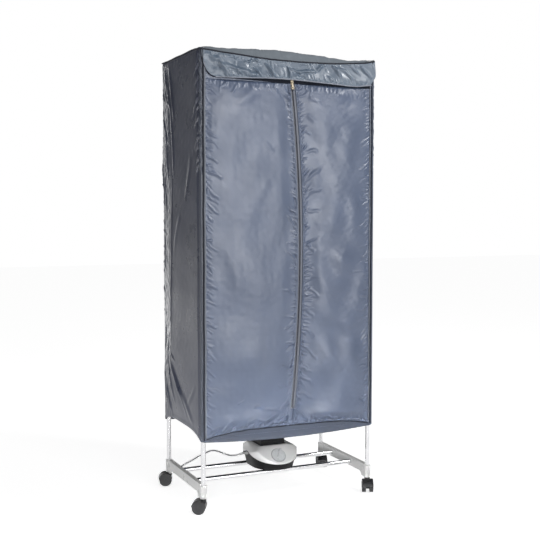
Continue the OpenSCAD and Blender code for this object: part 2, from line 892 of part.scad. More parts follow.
// Sag of the roof's front edge at x
function edge_sag(x) = front_sag * pow(max(0, 1 - pow(x / level_x, 2)), 0.8);

// Height of the roof's lower face
function roof_low(x, y) =
    let (u = (x + cover_x) / (2 * cover_x), v = (y + cover_y) / (2 * cover_y))
    frame_top + roof_gap
    + roof_bulge * pow(max(0, 1 - pow(x / level_x, 2)), 0.6) * ease(v, 0.04, 0.4) * ease(1 - v, 0.05, 0.4)
    - edge_sag(x) * ease(-y, cover_y - 75, cover_y)
    + 0.8 * fade(u) * fade(v) * (1 + sin(1000 * u + 300 * v));

function side_hem(y) = hem_corner + hem_side_rise * (1 - pow(y / cover_y, 4));
function front_hem(x) = hem_corner - hem_front_fall * (1 - pow(x / cover_x, 2));
function seam(x) = seam_z - seam_fall * pow(abs(x) / cover_x, 4);

// A slanting fold of width w through y0 and z0, which fades out above
function slanting_fold(y, z, y0, z0, w) =
    ridge((y - y0) + 0.45 * (z - z0), w) * ease(-z, -z0 - fold_fade, -z0);

// Outward folds of the left cloth: upright ones near the rear post, slanting ones at the lower rear
function left_folds(y, z) =
    let (
        v = (z - hem_corner) / (frame_top - hem_corner),
        down = fade(v),
        rear = ease(y, 40, 90) * ease(-y, 20 - cover_y, 48 - cover_y)
    )
    down * rear * (3 + 2.5 * sin(9 * y + 12 * sin(0.6 * z)))
    + 5 * down * slanting_fold(y, z, fold_y[0], fold_z[0], 16)
    + 4 * down * slanting_fold(y, z, fold_y[1], fold_z[1], 14)
    + 2.5 * down * fade((y + cover_y) / 80) * (1 + sin(3.2 * z));

// The left side: from the rear edge round the front corner to the strip's edge
module cover_side() {
    strip = [
        [-cover_x, cover_y], [-cover_x, -cover_y + 6], [-cover_x + 5, -cover_y], [-strip_x, -cover_y]
    ];
    lining = [
        [-cloth_x, cover_y], [-cloth_x, -cover_y + 6.8], [-cloth_x + 3.8, -cloth_y], [-strip_x, -cloth_y]
    ];
    // u runs along the side in equal steps and takes the corner in the last two
    long = 12;
    place = function(path, u)
        let (k = round(u * (long + 2)))
        k <= long ? path[0] + (path[1] - path[0]) * k / long : path[k - long + 1];
    sheet = function(path, u, v)
        let (
            p = place(path, u),
            k = round(u * (long + 2)),
            hem = k <= long ? side_hem(min(p[1], cover_y)) : hem_corner,
            z = hem + v * (frame_top - hem),
            out = k < long ? left_folds(p[1], z) : 0
        )
        [p[0] - out, p[1], z];
    color(side_cloth) cloth(long + 2, 14, function(u, v) sheet(strip, u, v), function(u, v) sheet(lining, u, v));
}

module cover_left() {
    cover_side();
}

module cover_right() {
    mirror([1, 0, 0]) cover_side();
}

module cover_back() {
    sheet = function(y, u, v)
        let (
            x = cloth_x * (1 - 2 * u),
            z = side_hem(cover_y) + v * (frame_top - side_hem(cover_y)),
            out = 4 * fade(u) * fade(v) * pow(sin(900 * u + 40 * sin(360 * v)), 2)
        )
        [x, y + out, z];
    color(side_cloth)
    cloth(14, 8, function(u, v) sheet(cover_y, u, v), function(u, v) sheet(cloth_y, u, v));
}

module cover_roof() {
    sheet = function(lift, u, v)
        let (x = roof_x(round(roof_steps * u)), y = cover_y * (2 * v - 1))
        [x, y, roof_low(x, y) + lift];
    color(side_cloth)
    cloth(roof_steps, 12, function(u, v) sheet(cloth_t, u, v), function(u, v) sheet(0, u, v));
}

// A flat front cloth from its outline
module front_cloth() {
    upright(-cover_y, -cloth_y) children();
}

// A band of half width w along the zip's arc, from z1 to z2
module zip_band(w1, w2, z1, z2) {
    intersection() {
        translate([zip_centre_x, zip_centre_z]) difference() {
            circle(zip_r + w2, $fn = zip_facets);
            circle(zip_r + w1, $fn = zip_facets);
        }
        translate([0, z1]) square([2 * cover_x, 2 * (z2 - z1)], center = true);
        translate([-cover_x, z1]) square([2 * cover_x, z2 - z1]);
    }
}

module cover_header() {
    top = [for (i = [roof_steps - 1:-1:1]) [roof_x(i), frame_top - edge_sag(roof_x(i))]];
    color(flap_cloth) front_cloth() difference() {
        union() {
            polygon(concat(
                [[-strip_x, header_low], [strip_x, header_low], [strip_x, frame_top]], top, [[-strip_x, frame_top]]
            ));
            zip_band(-tape_half, tape_half, zip_high, header_low + 1);
        }
        zip_band(-slot_half, slot_half, zip_high - 1, slider_z + slider_l);
    }
}

module cover_band() {
    steps = 32;
    low = [for (i = [0:steps]) let (x = strip_x * (2 * i / steps - 1)) [x, front_hem(x)]];
    top = [for (i = [0:steps]) let (x = strip_x * (1 - 2 * i / steps)) [x, seam(x)]];
    color(door_cloth) front_cloth() difference() {
        union() {
            polygon(concat(low, top));
            zip_band(-tape_half, tape_half, seam_z - 2, zip_low);
        }
        zip_band(-slot_half, slot_half, slider_stop_z - slider_l / 2, zip_low + 1);
    }
}

// ---- Doors and zip ----

// Sideways place at height z of a line that runs beside the zip, away from it by w
function zip_x(z, w) = zip_centre_x + sqrt(pow(zip_r + w, 2) - pow(z - zip_centre_z, 2));

// Outward folds of a door cloth, flat along all four edges
function door_folds(x, z, u, v) =
    fade(u) * fade(v) * (2.8 + 1.5 * sin(1.6 * x + 0.35 * z) + 1.2 * sin(0.9 * z - 2.2 * x));

module door(side) {
    z1 = seam_z + swing_gap;
    hinge = side * (strip_x - swing_gap);
    sheet = function(y, u, v)
        let (
            t = side < 0 ? u : 1 - u,
            zip_z = z1 + v * (door_top - z1),
            edge = zip_x(zip_z, side * door_edge),
            x = hinge + t * (edge - hinge),
            low = t > 0.999 ? z1 : seam(x) + swing_gap,
            z = low + v * (door_top - low)
        )
        [x, y - door_folds(x, z, t, v), z];
    color(door_cloth)
    cloth(10, 20, function(u, v) sheet(-cover_y, u, v), function(u, v) sheet(-cloth_y, u, v));
}

module door_left() {
    door(-1);
}

module door_right() {
    door(1);
}

// One side of the zip: its tape and its row of teeth
module zip_tape(side) {
    low = zip_low + swing_gap;
    high = zip_high - swing_gap;
    inner = side * teeth_gap;
    outer = side * tape_half;
    row = side * (teeth_gap + teeth_w);
    color([0.3, 0.32, 0.37]) {
        front_cloth() zip_band(min(inner, outer), max(inner, outer), low, high);
        upright(-cover_y - teeth_rise, -cloth_y + teeth_rise) zip_band(min(inner, row), max(inner, row), low, high);
    }
}

module zip_left() {
    zip_tape(-1);
}

module zip_right() {
    zip_tape(1);
}

// X across the zip and Z along it, at the slider's rest place
module at_slider() {
    translate([zip_centre_x, 0, zip_centre_z]) rotate([0, -slider_turn, 0]) translate([zip_r, 0, 0]) children();
}

module zip_slider() {
    pin_half = pull_eye_w / 2 + side_gap + lug_t;
    lug_r = pull_pin_d / 2 + 0.7;
    color(brass) at_slider() {
        span([-slider_w / 2, slider_front, -slider_l / 2], [slider_w / 2, slider_front + slider_t, slider_l / 2]);
        span([-slider_w / 2, slider_back - slider_t, -slider_l / 2], [slider_w / 2, slider_back, slider_l / 2]);
        span([-neck_half, slider_front, -2], [neck_half, slider_back, 2]);
        for (s = [-1, 1]) translate([s * (pin_half - lug_t / 2), 0, 0])
            span([-lug_t / 2, pull_y - lug_r, pull_z - lug_r], [lug_t / 2, slider_front + slider_t / 2, pull_z + lug_r]);
        translate([0, pull_y, pull_z]) rod_x(pull_pin_d / 2, -pin_half, pin_half);
    }
}

module zip_pull() {
    tip_w = 8;
    hole_w = 4;
    color(brass) at_slider() translate([0, pull_y, pull_z]) difference() {
        union() {
            rod_x(pull_eye_r, -pull_eye_w / 2, pull_eye_w / 2);
            span([-pull_eye_w / 2, -pull_t / 2, -pull_l], [pull_eye_w / 2, pull_t / 2, 0]);
            span([-tip_w / 2, -pull_t / 2, -pull_l], [tip_w / 2, pull_t / 2, -pull_l / 2]);
        }
        rod_x(pull_pin_d / 2 + run_gap, -pull_eye_w, pull_eye_w);
        span([-hole_w / 2, -pull_t, 2 - pull_l], [hole_w / 2, pull_t, -pull_l / 2 - 3]);
    }
}

// ---- Flap ----

// Length of the flap below its hinge at x: round at the left end, cut off at the right end
function flap_fall(x) =
    let (
        left = min(max((flap_left + flap_round - x) / flap_round, 0), 0.96),
        right = max(x - (flap_right - flap_corner), 0)
    )
    (flap_l - 1 - cos(0.9 * x)) * sqrt(1 - left * left) - 1.1 * right;

module flap() {
    sheet = function(back, u, v)
        let (
            x = flap_left + u * (flap_right - flap_left),
            fall = flap_fall(x) * (1 - v),
            t = fall / flap_l,
            out = flap_gap + flap_standoff * (1 - pow(1 - t, 2)) + 1.5 * fade(u) * t * (1 + sin(4.3 * x))
        )
        [x, -cover_y - out - (back ? 0 : cloth_t), flap_z - fall];
    color(flap_cloth) cloth(24, 5, function(u, v) sheet(false, u, v), function(u, v) sheet(true, u, v));
}

base_bracket(-1);  // base_bracket_left
base_bracket(1);  // base_bracket_right
rail(-rail_y, base_rail_z);  // base_rail_front
rail(rail_y, base_rail_z);  // base_rail_rear
lower_post(-1, -1);  // lower_post_fl
lower_post(1, -1);  // lower_post_fr
lower_post(-1, 1);  // lower_post_rl
lower_post(1, 1);  // lower_post_rr
upper_post(-1, -1);  // upper_post_fl
upper_post(1, -1);  // upper_post_fr
upper_post(-1, 1);  // upper_post_rl
upper_post(1, 1);  // upper_post_rr
mid_bracket(-1);  // mid_bracket_left
mid_bracket(1);  // mid_bracket_right
rail(-rail_y, mid_z);  // mid_rail_front
rail(rail_y, mid_z);  // mid_rail_rear
top_bracket(-1);  // top_bracket_left
top_bracket(1);  // top_bracket_right
rail(-rail_y, top_rail_z);  // top_rail_front
rail(rail_y, top_rail_z);  // top_rail_rear
heater_tray();
heater_cover();
outlet_duct();
heating_element();
fan_motor();
fan_rotor();
timer_box();
timer_knob();
dial_plate();
heater_screws();
cord_gland();
mains_cord();
cord_coil();
cord_tie();
plug();
cover_back();
cover_left();
cover_right();
cover_roof();
cover_header();
cover_band();
door_left();
door_right();
zip_left();
zip_right();
flap();
zip_slider();
zip_pull();
caster_yoke(-1, -1, turn_fl);  // caster_yoke_fl
caster_yoke(1, -1, turn_fr);  // caster_yoke_fr
caster_yoke(-1, 1, turn_rl);  // caster_yoke_rl
caster_yoke(1, 1, turn_rr);  // caster_yoke_rr
wheel(-1, -1, turn_fl, 1);  // wheel_fl_outer
wheel(-1, -1, turn_fl, -1);  // wheel_fl_inner
wheel(1, -1, turn_fr, 1);  // wheel_fr_outer
wheel(1, -1, turn_fr, -1);  // wheel_fr_inner
wheel(-1, 1, turn_rl, 1);  // wheel_rl_outer
wheel(-1, 1, turn_rl, -1);  // wheel_rl_inner
wheel(1, 1, turn_rr, 1);  // wheel_rr_outer
wheel(1, 1, turn_rr, -1);  // wheel_rr_inner
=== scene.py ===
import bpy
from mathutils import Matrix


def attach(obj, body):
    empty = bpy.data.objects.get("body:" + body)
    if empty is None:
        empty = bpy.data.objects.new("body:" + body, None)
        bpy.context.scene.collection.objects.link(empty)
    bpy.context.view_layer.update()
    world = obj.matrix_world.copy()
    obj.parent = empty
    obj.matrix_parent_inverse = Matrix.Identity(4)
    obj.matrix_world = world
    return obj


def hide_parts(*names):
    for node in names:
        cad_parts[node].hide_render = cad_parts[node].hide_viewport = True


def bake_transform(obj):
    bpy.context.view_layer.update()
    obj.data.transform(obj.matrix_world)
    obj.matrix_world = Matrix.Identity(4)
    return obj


bl_info = {
    "name": "Drying cabinet",
    "version": (1, 0, 0),
    "blender": (4, 5, 0),
    "location": "3D View > Sidebar > Drying cabinet",
    "description": "Dresses the packed frame of a heated clothes-drying cabinet",
    "category": "Object",
}

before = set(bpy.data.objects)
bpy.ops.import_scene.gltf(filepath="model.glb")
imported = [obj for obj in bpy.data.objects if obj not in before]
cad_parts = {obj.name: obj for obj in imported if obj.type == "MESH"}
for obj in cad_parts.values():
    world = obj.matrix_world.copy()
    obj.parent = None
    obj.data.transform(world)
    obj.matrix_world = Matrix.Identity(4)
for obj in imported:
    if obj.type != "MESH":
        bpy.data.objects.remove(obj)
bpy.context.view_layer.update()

import math
import random

import bpy
import numpy as np
from mathutils import Vector

MM = 0.001
CABINET = "cabinet"

# The cover, in millimetres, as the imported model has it
COVER_X, COVER_Y = 320.0, 190.0
STRIP_X = 308.0
FRONT_CORNER, REAR_CORNER = 6.0, 9.0
HEM_Z = 238.0
SIDE_TOP, ROOF_Z = 1505.5, 1506.0
PIPING_X, WELT_X = 308.6, 303.4
HINGE_X = 307.4
DOOR_LIFT = 0.6          # gap between the bottom seam and a door's lower edge
DOOR_TOP, HEADER_LOW = 1408.0, 1408.6
ZIP_LOW, ZIP_HIGH, ZIP_END = 322.0, 1388.6, 1423.0
ZIP_GAP = 0.6            # left free at each end of the zip that opens
ZIP_R, ZIP_CX, ZIP_CZ = 4918.1016, -4882.1016, 855.3
TAPE_Y, TEETH_Y, CHANNEL_Y = -189.75, -188.6, -184.9
TAPE_W = 12.0
FLAP_LEFT, FLAP_RIGHT = -314.0, 320.5
CLOTH = 1.2 * MM
TO_FRONT = np.array([0.0, -1.0, 0.0])
SIDES = ((-1, "left"), (1, "right"))


# ---- Outlines ----

def zip_x(z, beside=0.0):
    """Sideways place at height z of a line that runs beside the zip."""
    return ZIP_CX + np.sqrt((ZIP_R + beside) ** 2 - (z - ZIP_CZ) ** 2)


def seam_z(x):
    """Height of the seam between the doors and the bottom band."""
    return 266 - 24 * (np.abs(x) / COVER_X) ** 4


def front_hem(x):
    """Height of the bottom band's lower edge."""
    return HEM_Z - 13 * (1 - (x / COVER_X) ** 2)


def side_hem(y):
    """Height of the lower edge of a side."""
    return HEM_Z + 27 * (1 - (y / COVER_Y) ** 4)


def roof_edge(x):
    """Height of the piping along the roof's front edge."""
    return np.interp(x, [-320, -314, -250, -180, -120, -74, 20, 117, 170, 224, 280, 320],
                     [1503, 1501, 1495, 1490, 1485, 1482, 1480, 1481, 1483, 1487, 1492, 1500])


def roof_crown(x):
    """Height of the roof's crest behind the front edge."""
    return np.interp(x, [-320, -290, -180, -74, 35, 100, 147, 231, 290, 320],
                     [1506, 1513, 1519, 1520, 1519, 1514, 1508, 1506, 1507, 1506])


def flap_edge(x):
    """Height of the flap's lower edge."""
    return np.interp(x, [-314, -267, -180, -90, 2, 147, 200, 244, 302, 321],
                     [1418, 1416, 1417, 1421, 1421, 1415, 1412, 1411, 1418, 1420])


# ---- Cloth relief ----

def smooth(t):
    """Rises from 0 to 1 as t does, level at both ends."""
    t = np.clip(t, 0, 1)
    return t * t * (3 - 2 * t)


def ridge(t, at, width):
    """A rounded ridge, 1 high where t is at."""
    return np.exp(-((t - at) / width) ** 2)


def ripple(p, q, shortest, longest, seed, waves=16):
    """A smooth field without direction, about -1 to 1, the same on every run."""
    draw = random.Random(seed)
    out = np.zeros_like(p)
    for _ in range(waves):
        k = math.tau / draw.uniform(shortest, longest)
        a = draw.uniform(0, math.tau)
        out += np.sin(k * (math.cos(a) * p + math.sin(a) * q) + draw.uniform(0, math.tau))
    return out / math.sqrt(waves)


def warped(p, q, seed, reach=2.6):
    """The same places, slightly shifted about, so that folds laid on them run unevenly."""
    return p + reach * ripple(p, q, 22, 70, seed), q + reach * ripple(p, q, 22, 70, seed + 500)


def fold(p, q, start, end, width, height, sewn=False, bow=0.0):
    """One fold from start to end. A sewn one is highest near its start, the others in the middle."""
    (x0, z0), (x1, z1) = start, end
    length = math.hypot(x1 - x0, z1 - z0)
    ux, uz = (x1 - x0) / length, (z1 - z0) / length
    reach = 3 * width + abs(bow)
    rows = (q.min(axis=1) < max(z0, z1) + reach) & (q.max(axis=1) > min(z0, z1) - reach)
    out = np.zeros_like(p)
    if not rows.any():
        return out
    dp, dq = p[rows] - x0, q[rows] - z0
    s = np.clip((dp * ux + dq * uz) / length, 0, 1)
    across = dq * ux - dp * uz - bow * np.sin(np.pi * s)
    if sewn:
        rise, spread = np.minimum(1, s / 0.1) * (1 - s) ** 0.9, width * (0.75 + 0.45 * s)
    else:
        rise, spread = np.sin(np.pi * s) ** 0.8, width
    t = (across / spread) ** 2
    out[rows] = height * rise * (1 - 0.9 * t) * np.exp(-t)
    return out


def gathers(p, q, line, span, angle, seed, gap=(9, 20), length=(10, 32), width=(3.2, 5.0),
            height=(1.4, 3.0)):
    """Short folds that leave a sewn line. line gives a point; angle is in degrees, or gives them."""
    draw = random.Random(seed)
    out = np.zeros_like(p)
    t = span[0] + draw.uniform(*gap) / 2
    while t < span[1]:
        x, z = line(t)
        a = math.radians((angle(t) if callable(angle) else angle) + draw.gauss(0, 9))
        reach = draw.uniform(*length) * (1.7 if draw.random() < 0.18 else 1)
        end = (x + reach * math.cos(a), z + reach * math.sin(a))
        sign = 1 if draw.random() < 0.7 else -0.8
        out += fold(p, q, (x, z), end, draw.uniform(*width), sign * draw.uniform(*height), sewn=True,
                    bow=draw.uniform(-2, 2))
        t += draw.uniform(*gap)
    return out


def seam_up(x):
    """A straight seam up the cloth at x."""
    return lambda t: (x, t)


def seam_across(z):
    """A straight seam across the cloth at z."""
    return lambda t: (t, z)


def folds(p, q, rows):
    """Folds placed one by one: x and z of the start, x and z of the end, width, height, bow."""
    out = np.zeros_like(p)
    for x0, z0, x1, z1, width, height, bow in rows:
        out += fold(p, q, (x0, z0), (x1, z1), width, height, bow=bow)
    return out


# ---- Meshes ----

def add_object(name, points, faces, material, body, nodes=(), flat_shade=False):
    """A mesh that rides on a body; given a tuple (first, second, start, end) instead, it stays where it is,
    on no body.
    """
    mesh = bpy.data.meshes.new(name)
    mesh.from_pydata(np.asarray(points, float).reshape(-1, 3).tolist(), [], faces)
    mesh.materials.append(material)
    mesh.polygons.foreach_set("use_smooth", [not flat_shade] * len(mesh.polygons))
    mesh.update()
    obj = bpy.data.objects.new(name, mesh)
    bpy.context.scene.collection.objects.link(obj)
    if isinstance(body, str):
        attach(obj, body)
    else:
        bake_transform(obj)
    if nodes:
        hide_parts(*nodes)
    return obj


def grid_faces(rows, columns, closed=False):
    """Faces of a grid of points; closed joins its last column to its first."""
    j, i = np.meshgrid(np.arange(rows - 1), np.arange(columns if closed else columns - 1), indexing="ij")
    a, b = j * columns + i, j * columns + (i + 1) % columns
    return np.stack([a, b, b + columns, a + columns], axis=-1).reshape(-1, 4).tolist()


def points_at(x, y, z, flip=False):
    """Points in millimetres, where a coordinate may be one number; flip turns a grid's face round."""
    points = np.stack(np.broadcast_arrays(x, y, z), axis=-1)
    return points[:, ::-1] if flip else points


def thicken(obj, thickness=CLOTH):
    solid = obj.modifiers.new("Thickness", "SOLIDIFY")
    solid.thickness = thickness
    solid.offset = -1.0


def cloth_piece(name, points, material, body, nodes):
    """A sheet of cloth on a grid of points in millimetres."""
    rows, columns = points.shape[:2]
    obj = add_object(name, points * MM, grid_faces(rows, columns), material, body, nodes)
    thicken(obj)


def tube_points(path, radius, sides=8):
    """Rings of points along a path, each square to it; radius may change along it."""
    path = np.asarray(path, float)
    radius = np.broadcast_to(radius, len(path))
    ahead = np.gradient(path, axis=0)
    ahead /= np.linalg.norm(ahead, axis=1)[:, None]
    side = np.cross(ahead[0], [0.3, 0.2, 1.0])
    rings = []
    turns = np.arange(sides) * math.tau / sides
    for place, way, r in zip(path, ahead, radius):
        side = side - way * side.dot(way)
        side /= np.linalg.norm(side)
        up = np.cross(way, side)
        rings.append(place + r * (np.cos(turns)[:, None] * side + np.sin(turns)[:, None] * up))
    return np.array(rings)


def tube_faces(rows, sides, first=0):
    """Faces of a tube with closed ends, whose first point has the number first."""
    faces = [[first + k for k in f[::-1]] for f in grid_faces(rows, sides, closed=True)]
    faces.append([first + k for k in range(sides)])
    faces.append([first + (rows - 1) * sides + k for k in range(sides - 1, -1, -1)])
    return faces


def tube_piece(name, path, radius, material, body, nodes=(), sides=8):
    """A tube along a path in millimetres."""
    rings = tube_points(np.asarray(path) * MM, np.asarray(radius) * MM, sides)
    return add_object(name, rings, tube_faces(len(rings), sides), material, body, nodes)


def along(line, pitch):
    """Points at an even pitch along a line of points, with the direction at each."""
    line = np.asarray(line, float)
    steps = np.linalg.norm(np.diff(line, axis=0), axis=1)
    place = np.concatenate([[0], np.cumsum(steps)])
    at = np.arange(pitch / 2, place[-1], pitch)
    points = np.stack([np.interp(at, place, line[:, k]) for k in range(3)], axis=1)
    ahead = np.gradient(points, axis=0)
    return points, ahead / np.linalg.norm(ahead, axis=1)[:, None]


def repeat_block(points, ahead, outward, size, taper=0.6):
    """A small tapered block at each point: size along the line, across it and outward."""
    across = np.cross(ahead, outward)
    across /= np.linalg.norm(across, axis=1)[:, None]
    out = np.cross(across, ahead)
    base = [(-1, -1), (1, -1), (1, 1), (-1, 1)]
    shape = [(a, b, 0) for a, b in base] + [(a * taper, b * taper, 1) for a, b in base]
    corners = [points + ahead * (a * size[0] / 2) + across * (b * size[1] / 2) + out * (c * size[2])
               for a, b, c in shape]
    box = np.array([(0, 1, 2, 3), (4, 7, 6, 5), (0, 4, 5, 1), (1, 5, 6, 2), (2, 6, 7, 3), (3, 7, 4, 0)])
    faces = np.concatenate([box + 8 * n for n in range(len(points))]).tolist()
    return np.stack(corners, axis=1).reshape(-1, 3), faces


def stitch_piece(name, line, material, body):
    """A row of thread stitches on the front, along a line of points in millimetres."""
    corners, faces = repeat_block(*along(line, 4.2), TO_FRONT, (2.8, 0.7, 0.45))
    return add_object(name, corners * MM, faces, material, body)


# ---- Materials ----

def add_node(tree, kind, inputs=(), **values):
    """Adds a shader node. inputs holds a value, or another node's output, for each socket."""
    node = tree.nodes.new("ShaderNode" + kind)
    for key, value in values.items():
        setattr(node, key, value)
    for key, value in dict(inputs).items():
        if isinstance(value, bpy.types.NodeSocket):
            tree.links.new(value, node.inputs[key])
        else:
            node.inputs[key].default_value = value
    return node


class Finish:
    """Builds one procedural material on object coordinates, in metres."""

    def __init__(self, name, rough, metallic=0.0, **sockets):
        self.material = bpy.data.materials.new(name)
        self.material.use_nodes = True
        self.tree = self.material.node_tree
        self.shader = self.tree.nodes["Principled BSDF"]
        self.shader.inputs["Metallic"].default_value = metallic
        self.shader.inputs["Roughness"].default_value = rough
        for key, value in sockets.items():
            self.shader.inputs[key.replace("_", " ")].default_value = value
        self.place = add_node(self.tree, "TexCoord").outputs["Object"]
        self.normal = None

    def drive(self, socket, output):
        self.tree.links.new(output, self.shader.inputs[socket])
        return self

    def noise(self, scale, detail=3.0, stretch=None, distortion=0.0):
        place = self.place
        if stretch:
            place = add_node(self.tree, "Mapping", {"Scale": stretch, "Vector": place}).outputs["Vector"]
        return add_node(self.tree, "TexNoise", {"Scale": scale, "Detail": detail, "Distortion": distortion,
                                                "Vector": place}).outputs["Fac"]

    def wave(self, scale, direction):
        return add_node(self.tree, "TexWave", {"Scale": scale, "Distortion": 0.0, "Vector": self.place},
                        bands_direction=direction).outputs["Fac"]

    def colour(self, field, low, high):
        ramp = add_node(self.tree, "ValToRGB")
        for stop, place, colour in zip(ramp.color_ramp.elements, (0.3, 0.7), (low, high)):
            stop.position = place
            stop.color = (*colour, 1)
        self.tree.links.new(field, ramp.inputs["Fac"])
        return self.drive("Base Color", ramp.outputs["Color"])

    def roughness(self, field, low, high):
        span = add_node(self.tree, "MapRange", {"From Min": 0.3, "From Max": 0.7, "To Min": low,
                                                "To Max": high, "Value": field})
        return self.drive("Roughness", span.outputs["Result"])

    def rounded(self, radius):
        self.normal = add_node(self.tree, "Bevel", {"Radius": radius}, samples=4).outputs["Normal"]
        return self.drive("Normal", self.normal)

    def bump(self, field, strength, distance):
        inputs = {"Strength": strength, "Distance": distance, "Height": field}
        if self.normal:
            inputs["Normal"] = self.normal
        self.normal = add_node(self.tree, "Bump", inputs).outputs["Normal"]
        return self.drive("Normal", self.normal)


def shade(colour, factor):
    return tuple(min(1.0, c * factor) for c in colour[:3])


def nylon(name, colour, threads="XZ", rough=0.37, crinkle=0.4, gloss=0.9):
    """Proofed nylon taffeta: a fine weave, a soft sheen and small crinkles."""
    cloth = Finish(name, rough, Sheen_Weight=0.04, Sheen_Roughness=0.35, Specular_IOR_Level=gloss)
    cloth.colour(cloth.noise(5.5, 4.0), shade(colour, 0.92), shade(colour, 1.08))
    cloth.roughness(cloth.noise(14, 3.0), rough - 0.05, rough + 0.07)
    cloth.bump(cloth.noise(38, 4.0, distortion=0.4), crinkle, 0.0009)
    for direction in threads:
        cloth.bump(cloth.wave(430, direction), 0.10, 0.00008)
    return cloth.material


def plastic(name, colour, rough=0.35, grain=0.12, edge=0.0006, coat=0.0, gloss=0.5):
    """Moulded plastic with softened edges, a fine grain and a faint unevenness of gloss."""
    part = Finish(name, rough, Coat_Weight=coat, Coat_Roughness=0.12, Specular_IOR_Level=gloss)
    part.colour(part.noise(9, 3.0), shade(colour, 0.95), shade(colour, 1.03))
    part.roughness(part.noise(30, 3.0), rough - 0.05, rough + 0.06)
    part.rounded(edge).bump(part.noise(900, 2.0), grain, 0.0001)
    return part.material


def metal(name, colour, rough=0.2, grain=0.08, stretch=(1, 1, 1), edge=0.0004):
    """Plated or bare metal with a fine drawn grain and small marks."""
    part = Finish(name, rough, metallic=1.0)
    part.colour(part.noise(24, 4.0), shade(colour, 0.93), shade(colour, 1.04))
    part.roughness(part.noise(60, 4.0, stretch), rough - 0.05, rough + 0.08)
    part.rounded(edge).bump(part.noise(420, 2.0, stretch), grain, 0.00006)
    return part.material


def dress(material, *nodes):
    """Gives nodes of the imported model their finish."""
    for name in nodes:
        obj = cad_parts[name]
        if not obj.material_slots:
            obj.data.materials.append(material)
        for slot in obj.material_slots:
            slot.material = material


# ---- Settings ----

def colour_property(name, description, default):
    return bpy.props.FloatVectorProperty(name=name, description=description, subtype="COLOR", size=3,
                                         min=0.0, max=1.0, default=default)


class CoverSettings(bpy.types.PropertyGroup):
    door_colour: colour_property("Doors", "Colour of the zipped front cloth", (0.100, 0.135, 0.222))
    # Sides and back are the doors' cloth, coloured darker: painted shade
    shaded_side_colour: colour_property("Sides", "Colour of the sides and back", (0.064, 0.074, 0.118))
    # Lighter than the doors' cloth: painted highlight along the welt's ridge; the flap's hem takes it lighter
    # still
    welt_highlight_colour: colour_property("Welts", "Colour of the corded edge beside the piping", (0.17, 0.19, 0.235))
    # Darker than the doors' cloth: painted shade of the front corners
    shaded_strip_colour: colour_property("Corner strips", "Colour of the front corners", (0.056, 0.068, 0.100))
    flap_colour: colour_property("Flap", "Colour of the flap", (0.105, 0.150, 0.214))
    roof_colour: colour_property("Roof", "Colour of the roof", (0.225, 0.258, 0.295))
    piping_colour: colour_property("Piping", "Colour of the corded edges", (0.012, 0.015, 0.026))
    tape_colour: colour_property("Zip tape", "Colour of the zip's tapes", (0.165, 0.180, 0.225))
    fold_depth: bpy.props.FloatProperty(name="Fold depth", description="Share of the folds' full depth",
                                        subtype="FACTOR", min=0.0, max=1.5, default=1.0)


class FrameSettings(bpy.types.PropertyGroup):
    tube_colour: colour_property("Tubes", "Colour of the plated tubes", (0.70, 0.70, 0.71))
    bracket_colour: colour_property("Brackets", "Colour of the end brackets", (0.80, 0.80, 0.795))
    caster_colour: colour_property("Casters", "Colour of the hoods and wheels", (0.016, 0.016, 0.018))


class HeaterSettings(bpy.types.PropertyGroup):
    case_colour: colour_property("Case", "Colour of the heater's case", (0.84, 0.84, 0.84))
    tray_colour: colour_property("Tray", "Colour of the tray and duct", (0.006, 0.006, 0.007))
    dial_colour: colour_property("Dial", "Colour of the timer's dial", (0.44, 0.45, 0.46))


class CordSettings(bpy.types.PropertyGroup):
    cord_colour: colour_property("Cord", "Colour of the mains cord and plug", (0.34, 0.34, 0.345))
    diameter: bpy.props.FloatProperty(name="Diameter", description="Diameter of the mains cord",
                                      subtype="DISTANCE", unit="LENGTH", min=0.004, max=0.007, default=0.0055)


class StageSettings(bpy.types.PropertyGroup):
    focal_length: bpy.props.FloatProperty(name="Focal length", description="Focal length on a 36 mm sensor",
                                          subtype="DISTANCE_CAMERA", min=20, max=150, default=62.87)
    key_power: bpy.props.FloatProperty(name="Key light", description="Power of the large front light",
                                       subtype="POWER", min=0, max=500, default=40)
    ambient: bpy.props.FloatProperty(name="Ambient", description="Strength of the even light all round",
                                     min=0, max=2, default=0.30)


# ---- Stage and camera ----

